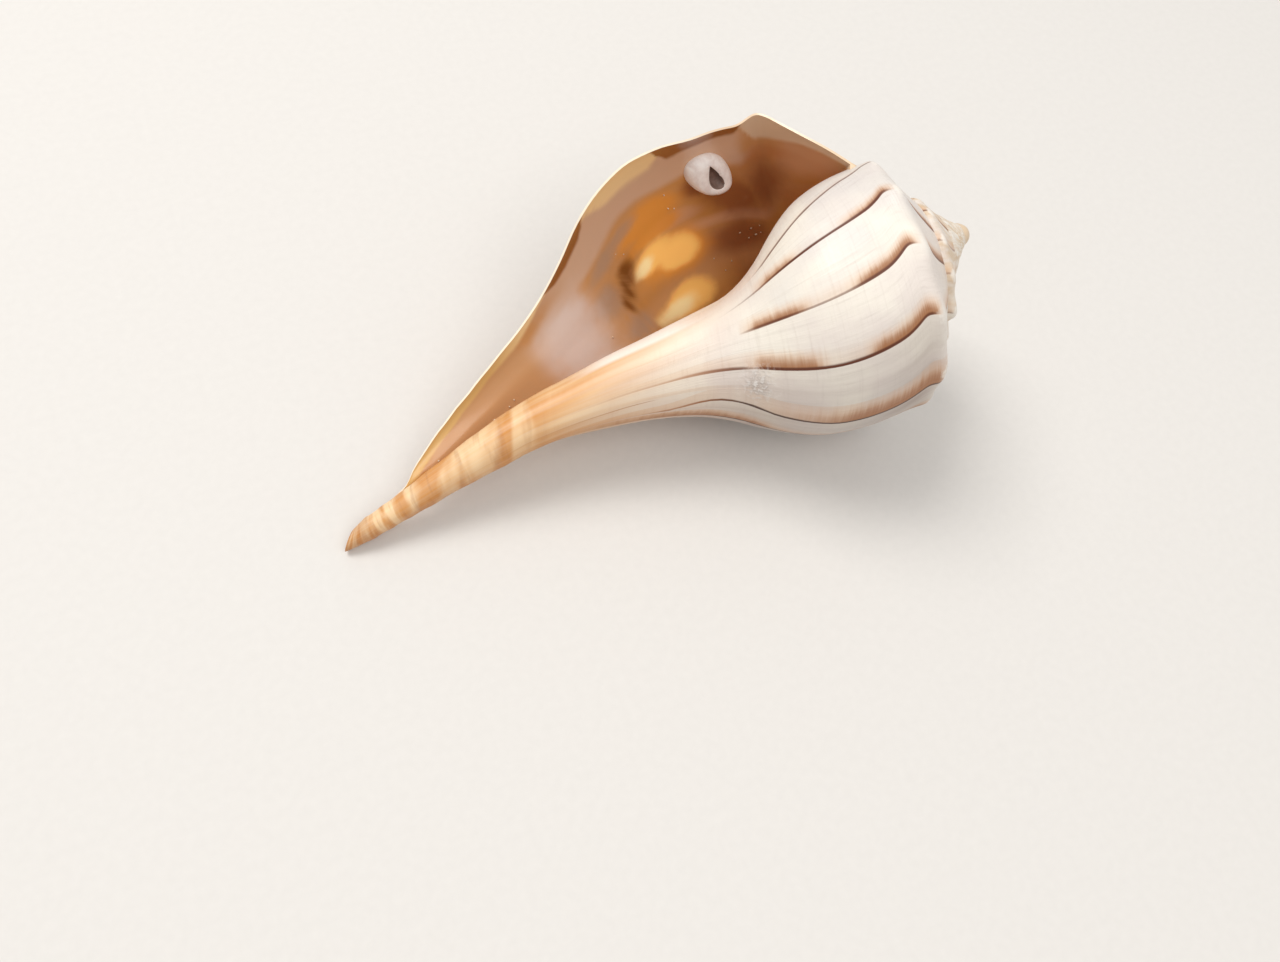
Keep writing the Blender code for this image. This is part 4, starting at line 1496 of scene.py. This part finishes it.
def make_grains():
    random = np.random.default_rng(5)
    points, faces = [], []
    for turn, row, size in GRAINS:
        ball = bmesh.new()
        bmesh.ops.create_icosphere(ball, subdivisions=2, radius=size)
        shape = np.array([corner.co for corner in ball.verts]) * random.uniform(0.75, 1.25, 3)
        shape = shape * random.uniform(0.9, 1.1, (len(shape), 1))
        inward = unit(-outward(turn, row, 0.0, True))
        first = sum(len(one) for one in points)
        points.append(shape + inner_point(turn, row, True) + inward * size * (1 - GRAIN_SINK))
        faces += [[first + corner.index for corner in face.verts] for face in ball.faces]
        ball.free()
    finish, write, shader = new_material("sand", Roughness=0.5)
    mixed = write.noise(write.place(), 900.0, 1.0)
    write.feed(shader.inputs["Base Color"], write.blend(mixed, GRAIN_WHITE, GRAIN_TAN))
    made = mesh_object("sand_grains", on_the_ground(np.concatenate(points)), faces, [finish])
    print("sand_grains:", len(GRAINS))
    return made


grains = make_grains()
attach(grains, "root")

# %% [markdown]
# A plain pale floor and soft light stand in for the room. A large area light hangs over the back
# left of the shell, as in the photograph. A weaker one over the front keeps the near side from going
# dark, and a pale sky fills the shadows. A small lamp or a sun would draw hard edges here.

# %% Floor and light
FLOOR_HALF = 12.0
FLOOR_DROP = 0.00002
FLOOR_GREY = colour(214, 211, 207)
FLOOR_PALE = colour(220, 217, 213)
DAYLIGHT = (1.0, 0.98, 0.95)
SKYLIGHT = (1.0, 0.99, 0.98)


def add_floor():
    half, low = FLOOR_HALF, -FLOOR_DROP
    points = np.array([(-half, -half, low), (half, -half, low), (half, half, low), (-half, half, low)])
    made, write, shader = new_material("floor", Roughness=0.8)
    grain = write.noise(write.place(), 700.0, 3.0)
    write.feed(shader.inputs["Base Color"], write.blend(grain, FLOOR_GREY, FLOOR_PALE))
    floor = mesh_object("floor", points, [[0, 1, 2, 3]], [made])


def add_light(name, place, power, size, tint):
    light = bpy.data.lights.new(name, "AREA")
    light.energy = power
    light.size = size
    light.color = tint
    made = bpy.data.objects.new(name, light)
    made.location = place
    made.rotation_euler = (-Vector(place)).to_track_quat("-Z", "Y").to_euler()
    bpy.context.scene.collection.objects.link(made)


def add_sky(strength, tint):
    world = bpy.data.worlds.new("sky")
    world.use_nodes = True
    background = world.node_tree.nodes["Background"]
    background.inputs["Color"].default_value = (*tint, 1)
    background.inputs["Strength"].default_value = strength
    bpy.context.scene.world = world


add_floor()
add_light("window", (-0.26, 0.40, 0.80), power=5.3, size=0.45, tint=DAYLIGHT)
add_light("lamp", (0.14, -0.38, 0.76), power=2.0, size=0.5, tint=DAYLIGHT)
add_sky(strength=0.60, tint=SKYLIGHT)
bpy.context.scene.view_settings.view_transform = "Standard"
print("lights:", [light.name for light in bpy.data.lights])
